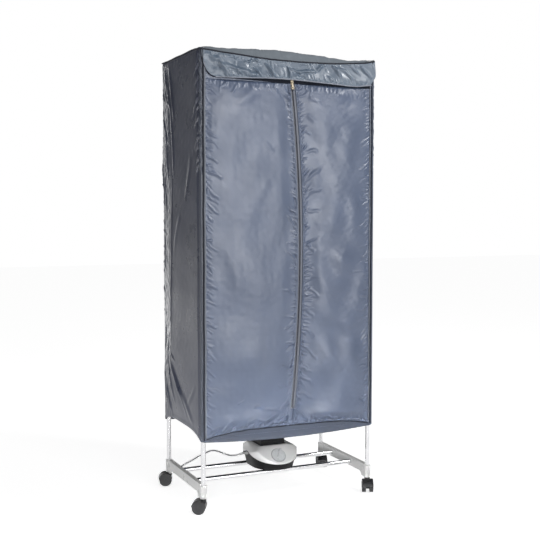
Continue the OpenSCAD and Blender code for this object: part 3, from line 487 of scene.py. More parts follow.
class DRYER_OT_stage(bpy.types.Operator):
    """Camera, lights, white surroundings and floor"""
    bl_idname = "dryer.stage"
    bl_label = "Stage"

    def execute(self, context):
        settings = context.scene.dryer_stage
        self.add_camera(context.scene, settings)
        self.add_world(context.scene, settings)
        self.add_lights(context.scene, settings)
        self.add_floor()
        return {"FINISHED"}

    @staticmethod
    def add_camera(scene, settings):
        turn, tilt = math.radians(24.28), math.radians(3.57)
        data = bpy.data.cameras.new("photo_camera")
        data.lens, data.sensor_width, data.clip_start = settings.focal_length, 36, 0.05
        camera = bpy.data.objects.new("photo_camera", data)
        camera.location = (-1.3567, -3.0326, 0.9880)
        ahead = Vector((math.sin(turn) * math.cos(tilt), math.cos(turn) * math.cos(tilt), -math.sin(tilt)))
        camera.rotation_euler = ahead.to_track_quat("-Z", "Y").to_euler()
        scene.collection.objects.link(camera)
        scene.camera = camera

    @staticmethod
    def add_world(scene, settings):
        world = bpy.data.worlds.new("white_room")
        world.use_nodes = True
        tree = world.node_tree
        tree.nodes.clear()
        # Seen straight on the room is white; in reflections it darkens towards the back
        rays, split, room = [add_node(tree, kind) for kind in ("LightPath", "SeparateXYZ", "TexCoord")]
        tree.links.new(room.outputs["Generated"], split.inputs[0])
        span = add_node(tree, "MapRange", {"From Min": 0.35, "From Max": -0.75, "To Min": 0.17,
                                           "To Max": 0.62, "Value": split.outputs["Y"]},
                        interpolation_type="SMOOTHSTEP")
        shader, mirrored, white = [add_node(tree, "Background", {"Color": (1, 1, 1, 1), "Strength": strength})
                                   for strength in (settings.ambient, 1.0, 1.0)]
        tree.links.new(span.outputs["Result"], mirrored.inputs["Strength"])
        for ray, other in (("Glossy", mirrored), ("Transmission", white), ("Camera", white)):
            shader = add_node(tree, "MixShader", {"Fac": rays.outputs[f"Is {ray} Ray"], 1: shader.outputs[0],
                                                  2: other.outputs[0]})
        add_node(tree, "OutputWorld", {"Surface": shader.outputs[0]})
        scene.world = world

    @staticmethod
    def add_lights(scene, settings):
        # Name, place, target, width and height, share of the key light's power, spread in degrees
        rows = (("front_panel", (0.2, -3.4, 1.6), (0.0, 0.0, 0.85), (1.2, 1.6), 0.62, 180),
                ("grazing_light", (1.9, -1.7, 2.9), (0.0, -0.1, 0.8), (0.5, 0.5), 0.8, 180),
                ("highlight_card", (1.0, -3.3, 0.92), (0.0, -0.1, 0.92), (0.5, 1.7), 0.44, 180),
                ("glint_card", (2.1, -2.9, 2.3), (0.0, -0.1, 0.9), (0.7, 0.7), 0.12, 180),
                ("rear_card", (-0.62, 3.1, 1.0), (-0.32, 0.1, 0.9), (0.45, 1.9), 0.15, 180),
                ("left_card", (-2.7, -0.15, 0.6), (-0.32, -0.18, 1.3), (0.7, 0.7), 0.24, 180),
                ("low_light", (-1.2, -2.4, 0.30), (0.0, -0.05, 0.05), (0.8, 0.4), 0.032, 26))
        for name, place, target, size, share, fan in rows:
            data = bpy.data.lights.new(name, "AREA")
            data.shape, data.size, data.size_y = "RECTANGLE", *size
            data.energy = settings.key_power * share
            data.spread = math.radians(fan)
            lamp = bpy.data.objects.new(name, data)
            lamp.location = place
            lamp.visible_diffuse = "card" not in name     # cards show in reflections alone
            lamp.visible_camera = False
            lamp.rotation_euler = (Vector(target) - Vector(place)).to_track_quat("-Z", "Y").to_euler()
            scene.collection.objects.link(lamp)

    @staticmethod
    def add_floor():
        half = 14.0
        mesh = bpy.data.meshes.new("studio_floor")
        mesh.from_pydata([(-half, -half, 0), (half, -half, 0), (half, half, 0), (-half, half, 0)], [],
                         [(0, 1, 2, 3)])
        material = bpy.data.materials.new("studio_floor_white")
        material.use_nodes = True
        tree = material.node_tree
        tree.nodes.clear()
        # The floor gives off some light where the camera or a reflection sees it, and none on the cabinet
        paint = add_node(tree, "BsdfDiffuse", {"Color": (0.78, 0.78, 0.78, 1)}).outputs[0]
        glow = add_node(tree, "Emission", {"Strength": 0.74}).outputs[0]
        rays = add_node(tree, "LightPath").outputs
        seen = add_node(tree, "Math", {0: rays["Is Camera Ray"], 1: rays["Is Glossy Ray"]},
                        operation="MAXIMUM")
        both = add_node(tree, "AddShader", {0: paint, 1: glow})
        mix = add_node(tree, "MixShader", {"Fac": seen.outputs[0], 1: paint, 2: both.outputs[0]})
        add_node(tree, "OutputMaterial", {"Surface": mix.outputs[0]})
        mesh.materials.append(material)
        floor = bpy.data.objects.new("studio_floor", mesh)
        bpy.context.scene.collection.objects.link(floor)


# ---- Mains cord ----

CORD_ROUTE = [
    (-83, 0, 135), (-90, 0, 135), (-104, 1, 132.5), (-118, 2, 130), (-132, 5, 129.5), (-146, 10, 132),
    (-160, 17, 137), (-173, 25, 142.5), (-186, 34, 146), (-199, 42, 145), (-211, 48, 139.5),
    (-224, 53, 132.5), (-238, 60, 125), (-252, 68, 115), (-266, 75, 106), (-280, 83, 97),
    (-290, 92, 87.5), (-294, 105, 79.5), (-293, 121, 72.5), (-288, 138, 66.5), (-280, 155, 60),
    (-271, 172, 52.5), (-261, 189, 44), (-251, 206, 35), (-241, 224, 26.5), (-231, 242, 19),
    (-220, 260, 13.2), (-209, 278, 8.8), (-196, 295, 5.8), (-182, 311, 4.2), (-166, 325, 3.4),
    (-147, 336, 3.2), (-124, 342, 3.2), (-66, 343, 3.2), (-6, 343, 3.2), (54, 343, 3.4),
    (82, 343, 4.2), (100, 343, 4.6), (112, 343, 4.6), (117, 343, 4.6),
]
COIL_X, COIL_Y, COIL_Z, COIL_R, COIL_TURNS, COIL_PITCH = 122, 306, 4.6, 37, 4, 6.2
CORD_TAIL = [(127, 343, 10.8), (137, 343, 10.8), (145, 343, 11.3), (153, 343, 12.3), (160, 343, 13),
             (166, 343, 13.2)]


def coil_points():
    """The coil winds in on its lower layer, up, and out on the upper one."""
    points, half, rings = [], COIL_TURNS / 2, 20
    for k in range(COIL_TURNS * rings + 1):
        t = k / rings
        r = COIL_R - COIL_PITCH * (half - abs(t - half))
        a = math.radians(90 - 360 * t)
        points.append((COIL_X + r * math.cos(a), COIL_Y + r * math.sin(a),
                       COIL_Z + COIL_PITCH * smooth((t - half + 0.25) / 0.5)))
    return points


class DRYER_OT_cord(bpy.types.Operator):
    """Mains cord with its strain relief, coil, tie and plug"""
    bl_idname = "dryer.cord"
    bl_label = "Mains cord"

    def execute(self, context):
        settings = context.scene.dryer_cord
        rubber = plastic("cord_rubber", settings.cord_colour, rough=0.48, grain=0.2)
        radius = settings.diameter / 2
        points = np.array(CORD_ROUTE + coil_points() + CORD_TAIL, float) * MM
        curve = bpy.data.curves.new("mains_cord_run", "CURVE")
        curve.dimensions = "3D"
        curve.bevel_depth, curve.bevel_resolution, curve.resolution_u = radius, 3, 4
        curve.use_fill_caps = True
        spline = curve.splines.new("BEZIER")
        spline.bezier_points.add(len(points) - 1)
        for knot, place in zip(spline.bezier_points, points):
            knot.co = place
            knot.handle_left_type = knot.handle_right_type = "AUTO"
        curve.materials.append(rubber)
        cord = bpy.data.objects.new("mains_cord_run", curve)
        context.scene.collection.objects.link(cord)
        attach(cord, CABINET)
        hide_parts("mains_cord", "cord_coil")
        plug = self.add_plug(rubber)
        self.add_relief(rubber)
        dress(plastic("tie_plastic", (0.03, 0.03, 0.03), rough=0.5), "cord_tie")
        return {"FINISHED"}

    @staticmethod
    def add_plug(rubber):
        """A round-pin plug: a swelling body with finger grooves, and two pins."""
        x0, y0, z0 = CORD_TAIL[-1]
        # Distance from the cord's end, half the width, half the height
        rows = [(0, 4.2, 4.2), (4, 4.6, 4.6), (8, 6.2, 5.8), (12, 10.5, 8.4), (17, 14.6, 11),
                (22, 15.6, 11.9), (24, 14.9, 11.4), (26, 15.8, 12.1), (28, 15.1, 11.6), (30, 16.0, 12.3),
                (32, 15.3, 11.8), (34, 16.4, 12.6), (40, 16.9, 12.9), (46, 17, 13), (47.4, 16.6, 12.6),
                (48, 15.6, 11.6)]
        sides, pin_sides = 40, 16
        rings = []
        for x, w, h in rows:
            power = 2 / 3.2 if w > 6 else 1         # round at the cord, squarish further on
            for k in range(sides):
                c, s = math.cos(math.tau * k / sides), math.sin(math.tau * k / sides)
                rings.append((x0 + x, y0 + w * math.copysign(abs(c) ** power, c),
                              z0 + h * math.copysign(abs(s) ** power, s)))
        body = add_object("plug_body", np.array(rings) * MM, [f[::-1] for f in tube_faces(len(rows), sides)],
                          rubber, CABINET, ["plug"])
        pins, faces = [], []
        for y in (y0 - 9.5, y0 + 9.5):
            for start, end, radius in ((213, 221, 2.55), (221, 233, 2.4)):     # sleeve, then metal
                line = [(start, y, z0), (end - 0.7, y, z0), (end, y, z0)]
                faces += tube_faces(3, pin_sides, first=3 * pin_sides * len(pins))
                pins.append(tube_points(line, [radius, radius, radius - 0.7], pin_sides))
        steel = metal("pin_steel", (0.62, 0.6, 0.56), rough=0.25)
        prongs = add_object("plug_pins", np.array(pins).reshape(-1, 3) * MM, faces, steel, CABINET)
        return [body, prongs]

    @staticmethod
    def add_relief(rubber):
        """A tapered, ribbed sleeve where the cord leaves the case."""
        path, radius = [], []
        for k in range(25):
            t = k / 24
            x = -70 - 40 * t
            path.append((x, np.interp(x, [-118, -104, -90], [2, 1, 0]), 135 - 3.6 * smooth((-86 - x) / 30)))
            groove = 0.45 if k % 3 == 1 and 6 < k < 24 else 0
            radius.append(6.6 - 0.4 * t if t < 0.26 else 5.6 - 2.4 * (t - 0.26) / 0.74 - groove)
        tube_piece("cord_relief", path, radius, rubber, CABINET, ["cord_gland"], sides=20)


# ---- Frame and casters ----

class DRYER_OT_frame(bpy.types.Operator):
    """Tubes, end brackets and casters"""
    bl_idname = "dryer.frame"
    bl_label = "Frame and casters"

    def execute(self, context):
        settings = context.scene.dryer_frame
        corners, tiers = ("fl", "fr", "rl", "rr"), ("base", "mid", "top")
        post = metal("plated_tube_upright", settings.tube_colour, rough=0.17, stretch=(1, 1, 0.04))
        rail = metal("plated_tube_level", settings.tube_colour, rough=0.17, stretch=(0.04, 1, 1))
        white = plastic("bracket_plastic", settings.bracket_colour, rough=0.3, edge=0.0012)
        black = plastic("caster_plastic", settings.caster_colour, rough=0.28, edge=0.001, gloss=0.4)
        tread = plastic("wheel_rubber", shade(settings.caster_colour, 1.3), rough=0.5, grain=0.3, edge=0.0012)
        dress(post, *[f"{tier}_post_{c}" for tier in ("lower", "upper") for c in corners])
        dress(rail, *[f"{tier}_rail_{side}" for tier in tiers for side in ("front", "rear")])
        dress(white, *[f"{tier}_bracket_{side}" for tier in tiers for side in ("left", "right")])
        dress(black, *[f"caster_yoke_{c}" for c in corners])
        dress(tread, *[f"wheel_{c}_{side}" for c in corners for side in ("outer", "inner")])
        return {"FINISHED"}


# ---- Heater ----

CASE_X, CASE_W, CASE_L, CASE_TOP = 10.0, 176.0, 216.0, 168.0
DUCT_W, DUCT_L = 90.0, 94.0
WALL = 1.6
END_Z, SIDE_Z = 114.0, 144.0         # where the slopes of the ends and of the sides reach the outline


def case_height(x, y):
    """Height of the heater's case: a flat top with rounded slopes to the front, rear and sides."""
    planes = [np.full_like(x, CASE_TOP), END_Z + (y + CASE_L / 2), END_Z + (CASE_L / 2 - y),
              SIDE_Z + (CASE_W / 2 - (x - CASE_X)), SIDE_Z + (CASE_W / 2 + (x - CASE_X))]
    soft = 5.0
    return -soft * np.log(sum(np.exp(-(plane - CASE_TOP) / soft) for plane in planes)) + CASE_TOP


class DRYER_OT_heater(bpy.types.Operator):
    """Fan heater: case, tray, duct, dial and inner parts"""
    bl_idname = "dryer.heater"
    bl_label = "Heater"

    def execute(self, context):
        settings = context.scene.dryer_heater
        gloss = plastic("case_gloss", settings.case_colour, rough=0.2, grain=0.05, coat=0.4)
        dark = plastic("tray_plastic", settings.tray_colour, rough=0.42, gloss=0.18)
        dial = plastic("dial_plastic", settings.dial_colour, rough=0.3)
        knob = plastic("knob_plastic", shade(settings.dial_colour, 1.5), rough=0.25, edge=0.001)
        self.add_case(gloss)
        self.add_trim()
        dress(dark, "heater_tray", "outlet_duct")
        dress(dial, "dial_plate")
        dress(knob, "timer_knob")
        dress(plastic("timer_plastic", (0.7, 0.7, 0.66)), "timer_box")
        dress(plastic("rotor_plastic", (0.03, 0.03, 0.032)), "fan_rotor")
        dress(metal("motor_metal", (0.35, 0.35, 0.36), rough=0.35), "fan_motor")
        dress(metal("element_metal", (0.62, 0.6, 0.56), rough=0.4), "heating_element")
        dress(metal("screw_steel", (0.6, 0.6, 0.61), rough=0.3), "heater_screws")
        return {"FINISHED"}

    @staticmethod
    def add_case(gloss):
        """The white cover: a thin shell from the duct out to the rim over the tray."""
        steps, turns = 30, 160
        half_l = (CASE_L - CASE_W) / 2
        a = np.arange(turns) * math.tau / turns
        # The outline is a stadium: straight sides, round ends
        outer = np.empty((turns, 2))
        outer[:, 1] = np.clip(np.sin(a) * CASE_L / 2, -CASE_L / 2, CASE_L / 2)
        beyond = np.maximum(np.abs(outer[:, 1]) - half_l, 0)
        outer[:, 0] = CASE_X + np.sign(np.cos(a)) * np.sqrt(np.maximum((CASE_W / 2) ** 2 - beyond ** 2, 0))
        grow = np.minimum((DUCT_W / 2) / np.maximum(np.abs(np.cos(a)), 1e-6),
                          (DUCT_L / 2) / np.maximum(np.abs(np.sin(a)), 1e-6))
        inner = np.stack([np.cos(a) * grow, np.sin(a) * grow], 1)
        rows = []
        for t in np.linspace(0, 1, steps):
            ring = inner + (outer - inner) * t
            rows.append(np.column_stack([ring, case_height(ring[:, 0], ring[:, 1])]))
        edge = rows[-1].copy()
        rim_z = SIDE_Z - 34 * np.abs(edge[:, 1]) / (CASE_L / 2)
        middle = np.array([CASE_X, 0.0])
        for share, out in ((0.3, 0.5), (0.7, 0.6), (1.0, 0.2)):
            ring = edge.copy()
            ring[:, 2] = edge[:, 2] + (rim_z - edge[:, 2]) * share
            ring[:, :2] = middle + (ring[:, :2] - middle) * (1 + out / (CASE_L / 2))
            rows.append(ring)
        rim = rows[-1].copy()
        rim[:, :2] = middle + (rim[:, :2] - middle) * (1 - WALL / (CASE_L / 2))
        rows.append(rim)
        shell = add_object("heater_shell", np.array(rows) * MM, grid_faces(len(rows), turns, closed=True),
                           gloss, CABINET, ["heater_cover"])
        shell.data.flip_normals()
        thicken(shell, WALL * MM)

    @staticmethod
    def add_trim():
        """Ticks round the dial, which leans back by 45 degrees, and a wire catch on the duct."""
        tilt = math.radians(45)
        up = np.array([0, -math.sin(tilt), math.cos(tilt)])
        right, top = np.array([1.0, 0, 0]), np.array([0, math.cos(tilt), math.sin(tilt)])
        centre, reach, lift = np.array([5.0, -85.0, 137.0]), 25, 1.15
        turns = np.radians(-60 + 25 * np.arange(13))[:, None]
        ahead = right * np.cos(turns) + top * np.sin(turns)
        block, faces = repeat_block(centre + ahead * reach + up * lift, ahead, up, (2.6, 0.9, 0.25))
        ink = plastic("dial_marks", (0.08, 0.08, 0.085), rough=0.5)
        add_object("dial_ticks", block * MM, faces, ink, CABINET, flat_shade=True)
        steel = metal("catch_steel", (0.7, 0.7, 0.7), rough=0.25)
        loop = [(47.2, -38, 181), (48.4, -38, 184), (48.8, -38, 190), (48.8, -34, 193), (48.8, -28, 193),
                (48.8, -24, 190), (48.4, -24, 184), (47.2, -24, 181)]
        tube_piece("duct_catch", loop, 0.9, steel, CABINET)


# ---- Cover ----

def spread(count, ends=0.6):
    """Shares from 0 to 1, closer together towards both ends."""
    t = np.linspace(0, 1, count)
    return ends * (0.5 - 0.5 * np.cos(np.pi * t)) + (1 - ends) * t


def hem_relief(above, width=13):
    """A turned hem: a slight band along the edge with a sunk stitch line over it."""
    return 0.9 * smooth(above / 2) * (1 - smooth((above - width) / 2)) - 0.8 * ridge(above, width, 1.2)


def door_fold(side, name):
    """The cabinet, a door and the stretch between them near the hinge; add_object leaves a cloth given these
    in place.
    """
    return CABINET, f"{name}_door", (side * 0.3074, -0.19, 0.8), (side * 0.262, -0.19, 0.8)


class DRYER_OT_body_cloth(bpy.types.Operator):
    """Sides, back and roof of the cover"""
    bl_idname = "dryer.body_cloth"
    bl_label = "Sides, back and roof"

    def execute(self, context):
        settings = context.scene.dryer_cover
        depth = settings.fold_depth
        # The sides and back take the doors' cloth coloured darker: painted shade
        side_cloth = nylon("shaded_side_nylon", settings.shaded_side_colour, "YZ", rough=0.3, crinkle=0.3, gloss=0.45)
        # The corner strips are the doors' cloth coloured darker: painted shade
        shaded_strips = {-1: nylon("left_shaded_strip_nylon", settings.shaded_strip_colour, "XZ", gloss=0.6),
                  1: nylon("right_shaded_strip_nylon", shade(settings.door_colour, 0.65), "XZ")}
        back_cloth = nylon("shaded_back_nylon", settings.shaded_side_colour, "XZ")
        roof_cloth = nylon("roof_nylon", settings.roof_colour, "XY", gloss=0.5)
        for side, name in SIDES:
            self.add_side(side, name, side_cloth, depth)
            self.add_corner_strip(side, name, shaded_strips[side], depth)
        self.add_back(back_cloth, depth)
        self.add_roof(roof_cloth, depth)
        return {"FINISHED"}

    @staticmethod
    def add_side(side, name, material, depth):
        """The side cloth, from the rounded rear corner to the start of the front corner."""
        rear_y, front_y = COVER_Y - REAR_CORNER, FRONT_CORNER - COVER_Y
        arc = REAR_CORNER * math.pi / 2
        s = np.concatenate([np.linspace(-arc, 0, 8)[:-1], spread(120) * (rear_y - front_y)])
        s, v = np.meshgrid(s, np.linspace(0, 1, 440))
        turn = np.clip(-s / REAR_CORNER, 0, math.pi / 2)
        y = np.where(s < 0, rear_y + REAR_CORNER * np.sin(turn), rear_y - s)
        hem = side_hem(y)
        z = hem + v * (SIDE_TOP - hem)
        slack = smooth((y - 78) / 12)           # the rear third hangs slack and faces a little to the rear
        relief = 1.2 + smooth((z - 250) / 140) * np.interp(y, [-184, 84, 190], [2, 9.5, 0])
        relief -= 0.9 * smooth((z - 420) / 60) * ridge(y, 85, 3.0)
        relief += (0.6 + 0.9 * slack) * ripple(y, z, 130, 380, 11 + side)
        relief += (0.1 + 0.5 * slack) * ripple(y, z, 22, 80, 21 + side)
        relief += folds(y, z, SIDE_FOLDS)
        relief += gathers(y, z, seam_up(188.0), (620, 1490), 205, 31 + side, gap=(24, 60), length=(24, 70),
                          width=(5, 8), height=(1.2, 3.0))
        relief += gathers(y, z, seam_across(SIDE_TOP), (-170, 185), -85, 51 + side, gap=(16, 40),
                          length=(14, 50), width=(4, 6), height=(0.6, 1.6))
        edge = smooth((y - front_y) / 12) * smooth((COVER_Y - y) / 14) * smooth((SIDE_TOP - z) / 12)
        relief = depth * np.maximum(relief, -2.5) * edge * (0.4 + 0.6 * smooth((z - hem) / 40))
        relief += hem_relief(z - hem)
        pleats = gathers(y, z, seam_up(-186.0), (1130, 1500), -68, 41 + side, gap=(22, 38), length=(40, 62),
                         width=(4.2, 6.0), height=(3.6, 5.4))
        relief += depth * pleats * smooth((y - front_y + 1) / 3) * (1.0 if side < 0 else 0.1)
        x = side * (COVER_X - REAR_CORNER + (REAR_CORNER + relief) * np.cos(turn))
        points = points_at(x, y + np.sin(turn) * relief, z, flip=side > 0)
        cloth_piece(f"{name}_side_cloth", points, material, CABINET, [f"cover_{name}"])

    @staticmethod
    def add_corner_strip(side, name, material, depth):
        """The strip round the front corner, gathered between the side seam and the piping, coloured darker
        than the doors' cloth: painted shade of the corner.
        """
        arc = FRONT_CORNER * math.pi / 2
        width = arc + (COVER_X - FRONT_CORNER - STRIP_X)
        s, v = np.meshgrid(np.linspace(0, width, 18), np.linspace(0, 1, 460))
        turn = np.clip(s / FRONT_CORNER, 0, math.pi / 2)
        share = s / width
        low = side_hem(FRONT_CORNER - COVER_Y) * (1 - share) + front_hem(STRIP_X) * share
        top = SIDE_TOP * (1 - share) + roof_edge(-STRIP_X) * share
        z = low + v * (top - low)
        relief = gathers(s, z, seam_up(0.0), (1130, 1500), -68, 61 + side, gap=(22, 38), length=(26, 44),
                         width=(3.6, 5.0), height=(3.2, 4.6))
        relief += gathers(s, z, seam_up(width), (1150, 1495), 116, 63 + side, gap=(18, 34), length=(14, 28),
                          width=(2.6, 3.6), height=(2.4, 3.6))
        relief *= 1.0 if side < 0 else 0.4
        relief = depth * np.maximum(relief + 0.5, -1.2) * smooth((s + 1) / 2)
        relief = relief * smooth((width - s) / 2) * smooth((top - z) / 9)
        x = side * (COVER_X - FRONT_CORNER + (FRONT_CORNER + relief) * np.cos(turn) - np.maximum(s - arc, 0))
        y = FRONT_CORNER - COVER_Y - (FRONT_CORNER + relief) * np.sin(turn)
        cloth_piece(f"{name}_corner_strip", points_at(x, y, z, flip=side > 0), material, CABINET, [])

    @staticmethod
    def add_back(material, depth):
        """The back, between the rounded rear corners."""
        half = COVER_X - REAR_CORNER
        x, v = np.meshgrid(half * (1 - 2 * spread(150)), np.linspace(0, 1, 260))
        hem = side_hem(COVER_Y) + 3 * (1 - (x / COVER_X) ** 2) - 3
        z = hem + v * (SIDE_TOP - hem)
        relief = 2.0 + 2.6 * ripple(x, z, 120, 400, 71) + 0.4 * ripple(x, z, 25, 60, 72)
        relief += 1.5 * np.sin((x + 16 * np.sin(z / 200)) / 26) * smooth((z - 300) / 200)
        relief += folds(x, z, [(-250, 1480, -120, 1250, 12, 3.5, 8), (240, 1470, 130, 1210, 12, 3.5, -8),
                               (-280, 330, -140, 470, 11, 3, -6), (270, 320, 150, 450, 11, 3, 6),
                               (-60, 1490, -20, 1300, 10, 2.5, 3), (70, 1490, 40, 1330, 10, 2.5, -3)])
        for line, angle, seed in ((seam_up(312.0), 205, 73), (seam_up(-312.0), -25, 74)):
            relief += gathers(x, z, line, (290, 1490), angle, seed, gap=(14, 34), length=(14, 46),
                              width=(3, 6), height=(0.5, 1.8))
        relief += gathers(x, z, seam_across(1504.0), (-300, 300), -90, 75, gap=(14, 30), length=(14, 60),
                          width=(3, 6), height=(0.5, 1.6))
        edge = smooth((half - np.abs(x)) / 14) * smooth((SIDE_TOP - z) / 12)
        relief = depth * np.maximum(relief, -0.5) * edge * (0.35 + 0.65 * smooth((z - hem) / 40))
        points = points_at(x, COVER_Y + (relief + hem_relief(z - hem)), z)
        cloth_piece("back_cloth", points, material, CABINET, ["cover_back"])

    @staticmethod
    def add_roof(material, depth):
        """The roof, which rises behind its front edge and falls again to the rear and the sides."""
        rim = ROOF_Z + 0.3
        v = np.concatenate([np.linspace(0, 0.2, 30)[:-1], np.linspace(0.2, 1, 60)])
        x, v = np.meshgrid(np.linspace(-COVER_X, COVER_X, 170), v)
        y = COVER_Y * (2 * v - 1)
        front, crest = roof_edge(x) + 1.5, roof_crown(x)
        back = ROOF_Z + 0.5 + 5 * (1 - (x / COVER_X) ** 2)
        into = y + COVER_Y
        z = front + (crest - front) * smooth(into / 34) ** 0.8
        z += (back - crest) * smooth((into - 60) / 120)
        z += (rim - z) * smooth((into - 330) / 50)
        side_edge = smooth((COVER_X - np.abs(x)) / 26)
        z = np.where(side_edge < 1, rim + (z - rim) * side_edge, z)
        z = np.where(into < 3, np.maximum(z, front), z)
        relief = 1.6 * ripple(x, y, 70, 220, 81) + 0.9 * ripple(x, 1.6 * y, 30, 80, 82)
        relief += gathers(x, y, seam_across(-186.0), (-300, 300), 80, 83, gap=(16, 40), length=(18, 60),
                          width=(3, 6), height=(0.6, 1.8))
        relief += folds(x, y, [(-95, -200, -92, -60, 4.0, -2.4, 0), (-30, -200, -26, -80, 4.0, -2.4, 0),
                               (40, -188, 60, -40, 5, 2.2, 3), (150, -188, 120, -60, 6, 2.4, -3)])
        edge = smooth((COVER_X - np.abs(x)) / 20) * smooth((COVER_Y - np.abs(y)) / 6)
        points = points_at(x, y, z + depth * relief * edge)
        cloth_piece("roof_cloth", points, material, CABINET, ["cover_roof"])


# Rows for folds()
SIDE_FOLDS = [
    (90, 450, 60, 1120, 5, 2.6, 3), (91, 1490, 38, 1290, 9, 3.6, -5), (150, 1495, 84, 1360, 8, 3.6, 4),
    (122, 1490, 70, 1330, 6, 2.6, 3), (155, 1415, 65, 1340, 7, 2.8, 7), (183, 1405, 130, 1362, 7, 3.2, 3),
    (172, 1350, 110, 1230, 8, 3.2, 5), (74, 1360, 42, 1096, 8, 2.2, -4), (122, 1280, 95, 1080, 9, 2.4, 4),
    (177, 1182, 165, 1000, 6, 2.4, 2), (150, 1130, 130, 950, 9, 2.2, 3), (168, 980, 150, 760, 8, 2.0, -3),
    (104, 470, -62, 300, 15, 6.0, -8), (66, 424, -50, 300, 7, -2.4, -5), (160, 400, 94, 262, 10, 4.4, -3),
    (22, 400, -127, 274, 15, 3.6, -6), (132, 470, 52, 320, 9, 3.4, -4), (184, 440, 150, 300, 9, 3.0, -2),
    (110, 560, 128, 440, 6, 2.6, 3), (150, 600, 165, 480, 7, 2.8, 3), (90, 500, 40, 470, 5, 2.4, 2),
    (-150, 420, -60, 330, 12, 2.0, -5), (-20, 980, 50, 820, 16, 1.6, 6), (-120, 1180, -60, 1010, 16, 1.4, -6),
]
LEFT_DOOR_FOLDS = [
    (-302, 1240, -262, 1220, 5, 3.0, 1), (-302, 1190, -275, 1180, 4, 2.4, 1),
    (-300, 1165, -258, 1142, 4.5, 3.6, 1), (-298, 1125, -243, 1087, 6.5, 4.4, 2),
    (-302, 1064, -256, 1024, 4.5, 4.0, 1), (-300, 1040, -258, 1010, 4, 3.6, 1),
    (-297, 1010, -255, 975, 4.5, 4.2, 1), (-300, 980, -274, 948, 4, 3.2, 1),
    (-300, 898, -274, 890, 4, 2.8, 1), (-299, 841, -278, 833, 4, 2.4, 1), (-300, 814, -278, 790, 4.5, 2.8, 1),
    (-301, 751, -258, 735, 4.5, 3.6, 1), (-302, 698, -264, 682, 4.5, 3.8, 1),
    (-300, 623, -262, 612, 4.5, 3.6, 1), (-300, 605, -276, 588, 4, 3.0, 1), (-298, 554, -280, 547, 4, 2.2, 1),
    (-299, 527, -268, 500, 5, 3.0, 1), (-298, 479, -268, 444, 5, 3.0, 1), (-300, 420, -272, 395, 5, 2.4, 1),
    (-298, 365, -270, 345, 6, 2.4, 1), (-15, 974, 14, 942, 4, 3.0, 1), (-14, 884, 14, 873, 4, 2.8, 1),
    (-18, 857, 14, 834, 4, 3.0, 1), (-36, 731, 14, 708, 5, 3.4, 2), (-22, 593, 14, 607, 5, 3.6, 1),
    (-18, 551, 12, 541, 4, 2.6, 1), (-52, 412, -14, 393, 6, 3.0, 2), (-30, 640, 14, 628, 5, 2.4, 2),
    (-40, 470, 6, 455, 5, 2.6, 2), (-135, 342, -98, 328, 6, 3.2, 3), (-100, 328, -38, 321, 6, 3.4, 4),
    (-123, 291, -50, 312, 8, 4.6, -5), (-111, 273, -4, 297, 6, 4.8, -7), (-193, 355, -168, 365, 4, 2.0, -1),
    (-252, 270, -111, 280, 7, 3.2, -3), (-287, 268, -250, 288, 6, 2.8, 2), (-40, 276, 2, 297, 5, 4.0, -3),
    (-12, 312, -52, 284, 5, 3.4, -3), (-10, 345, -48, 318, 5, 2.6, -3), (-160, 285, -128, 300, 6, 2.6, 2),
    (-230, 300, -200, 285, 8, 2.0, 2), (-222, 1412, -252, 1382, 6, 2.8, 3),
    (-196, 1400, -218, 1364, 5, 2.6, 2), (-270, 1404, -246, 1420, 5, 2.6, 1),
    (-170, 1404, -178, 1380, 5, 2.6, 1), (-148, 1406, -142, 1384, 5, 2.6, 1),
    (-126, 1404, -114, 1380, 5, 3.0, 1), (-96, 1404, -78, 1376, 5, 2.8, 1), (-66, 1404, -50, 1370, 5, 3.2, 2),
    (-34, 1402, 0, 1318, 7, 4.8, 8), (-20, 1400, 4, 1350, 4.5, -3.2, 4), (-50, 1390, -18, 1330, 6, -2.6, 6),
    (-62, 1180, -96, 1215, 9, 2.0, 3), (-120, 1395, -210, 1330, 22, 3.4, 8),
    (-250, 900, -180, 700, 30, 2.2, 10), (-130, 1000, -60, 1120, 26, 2.0, 8),
]
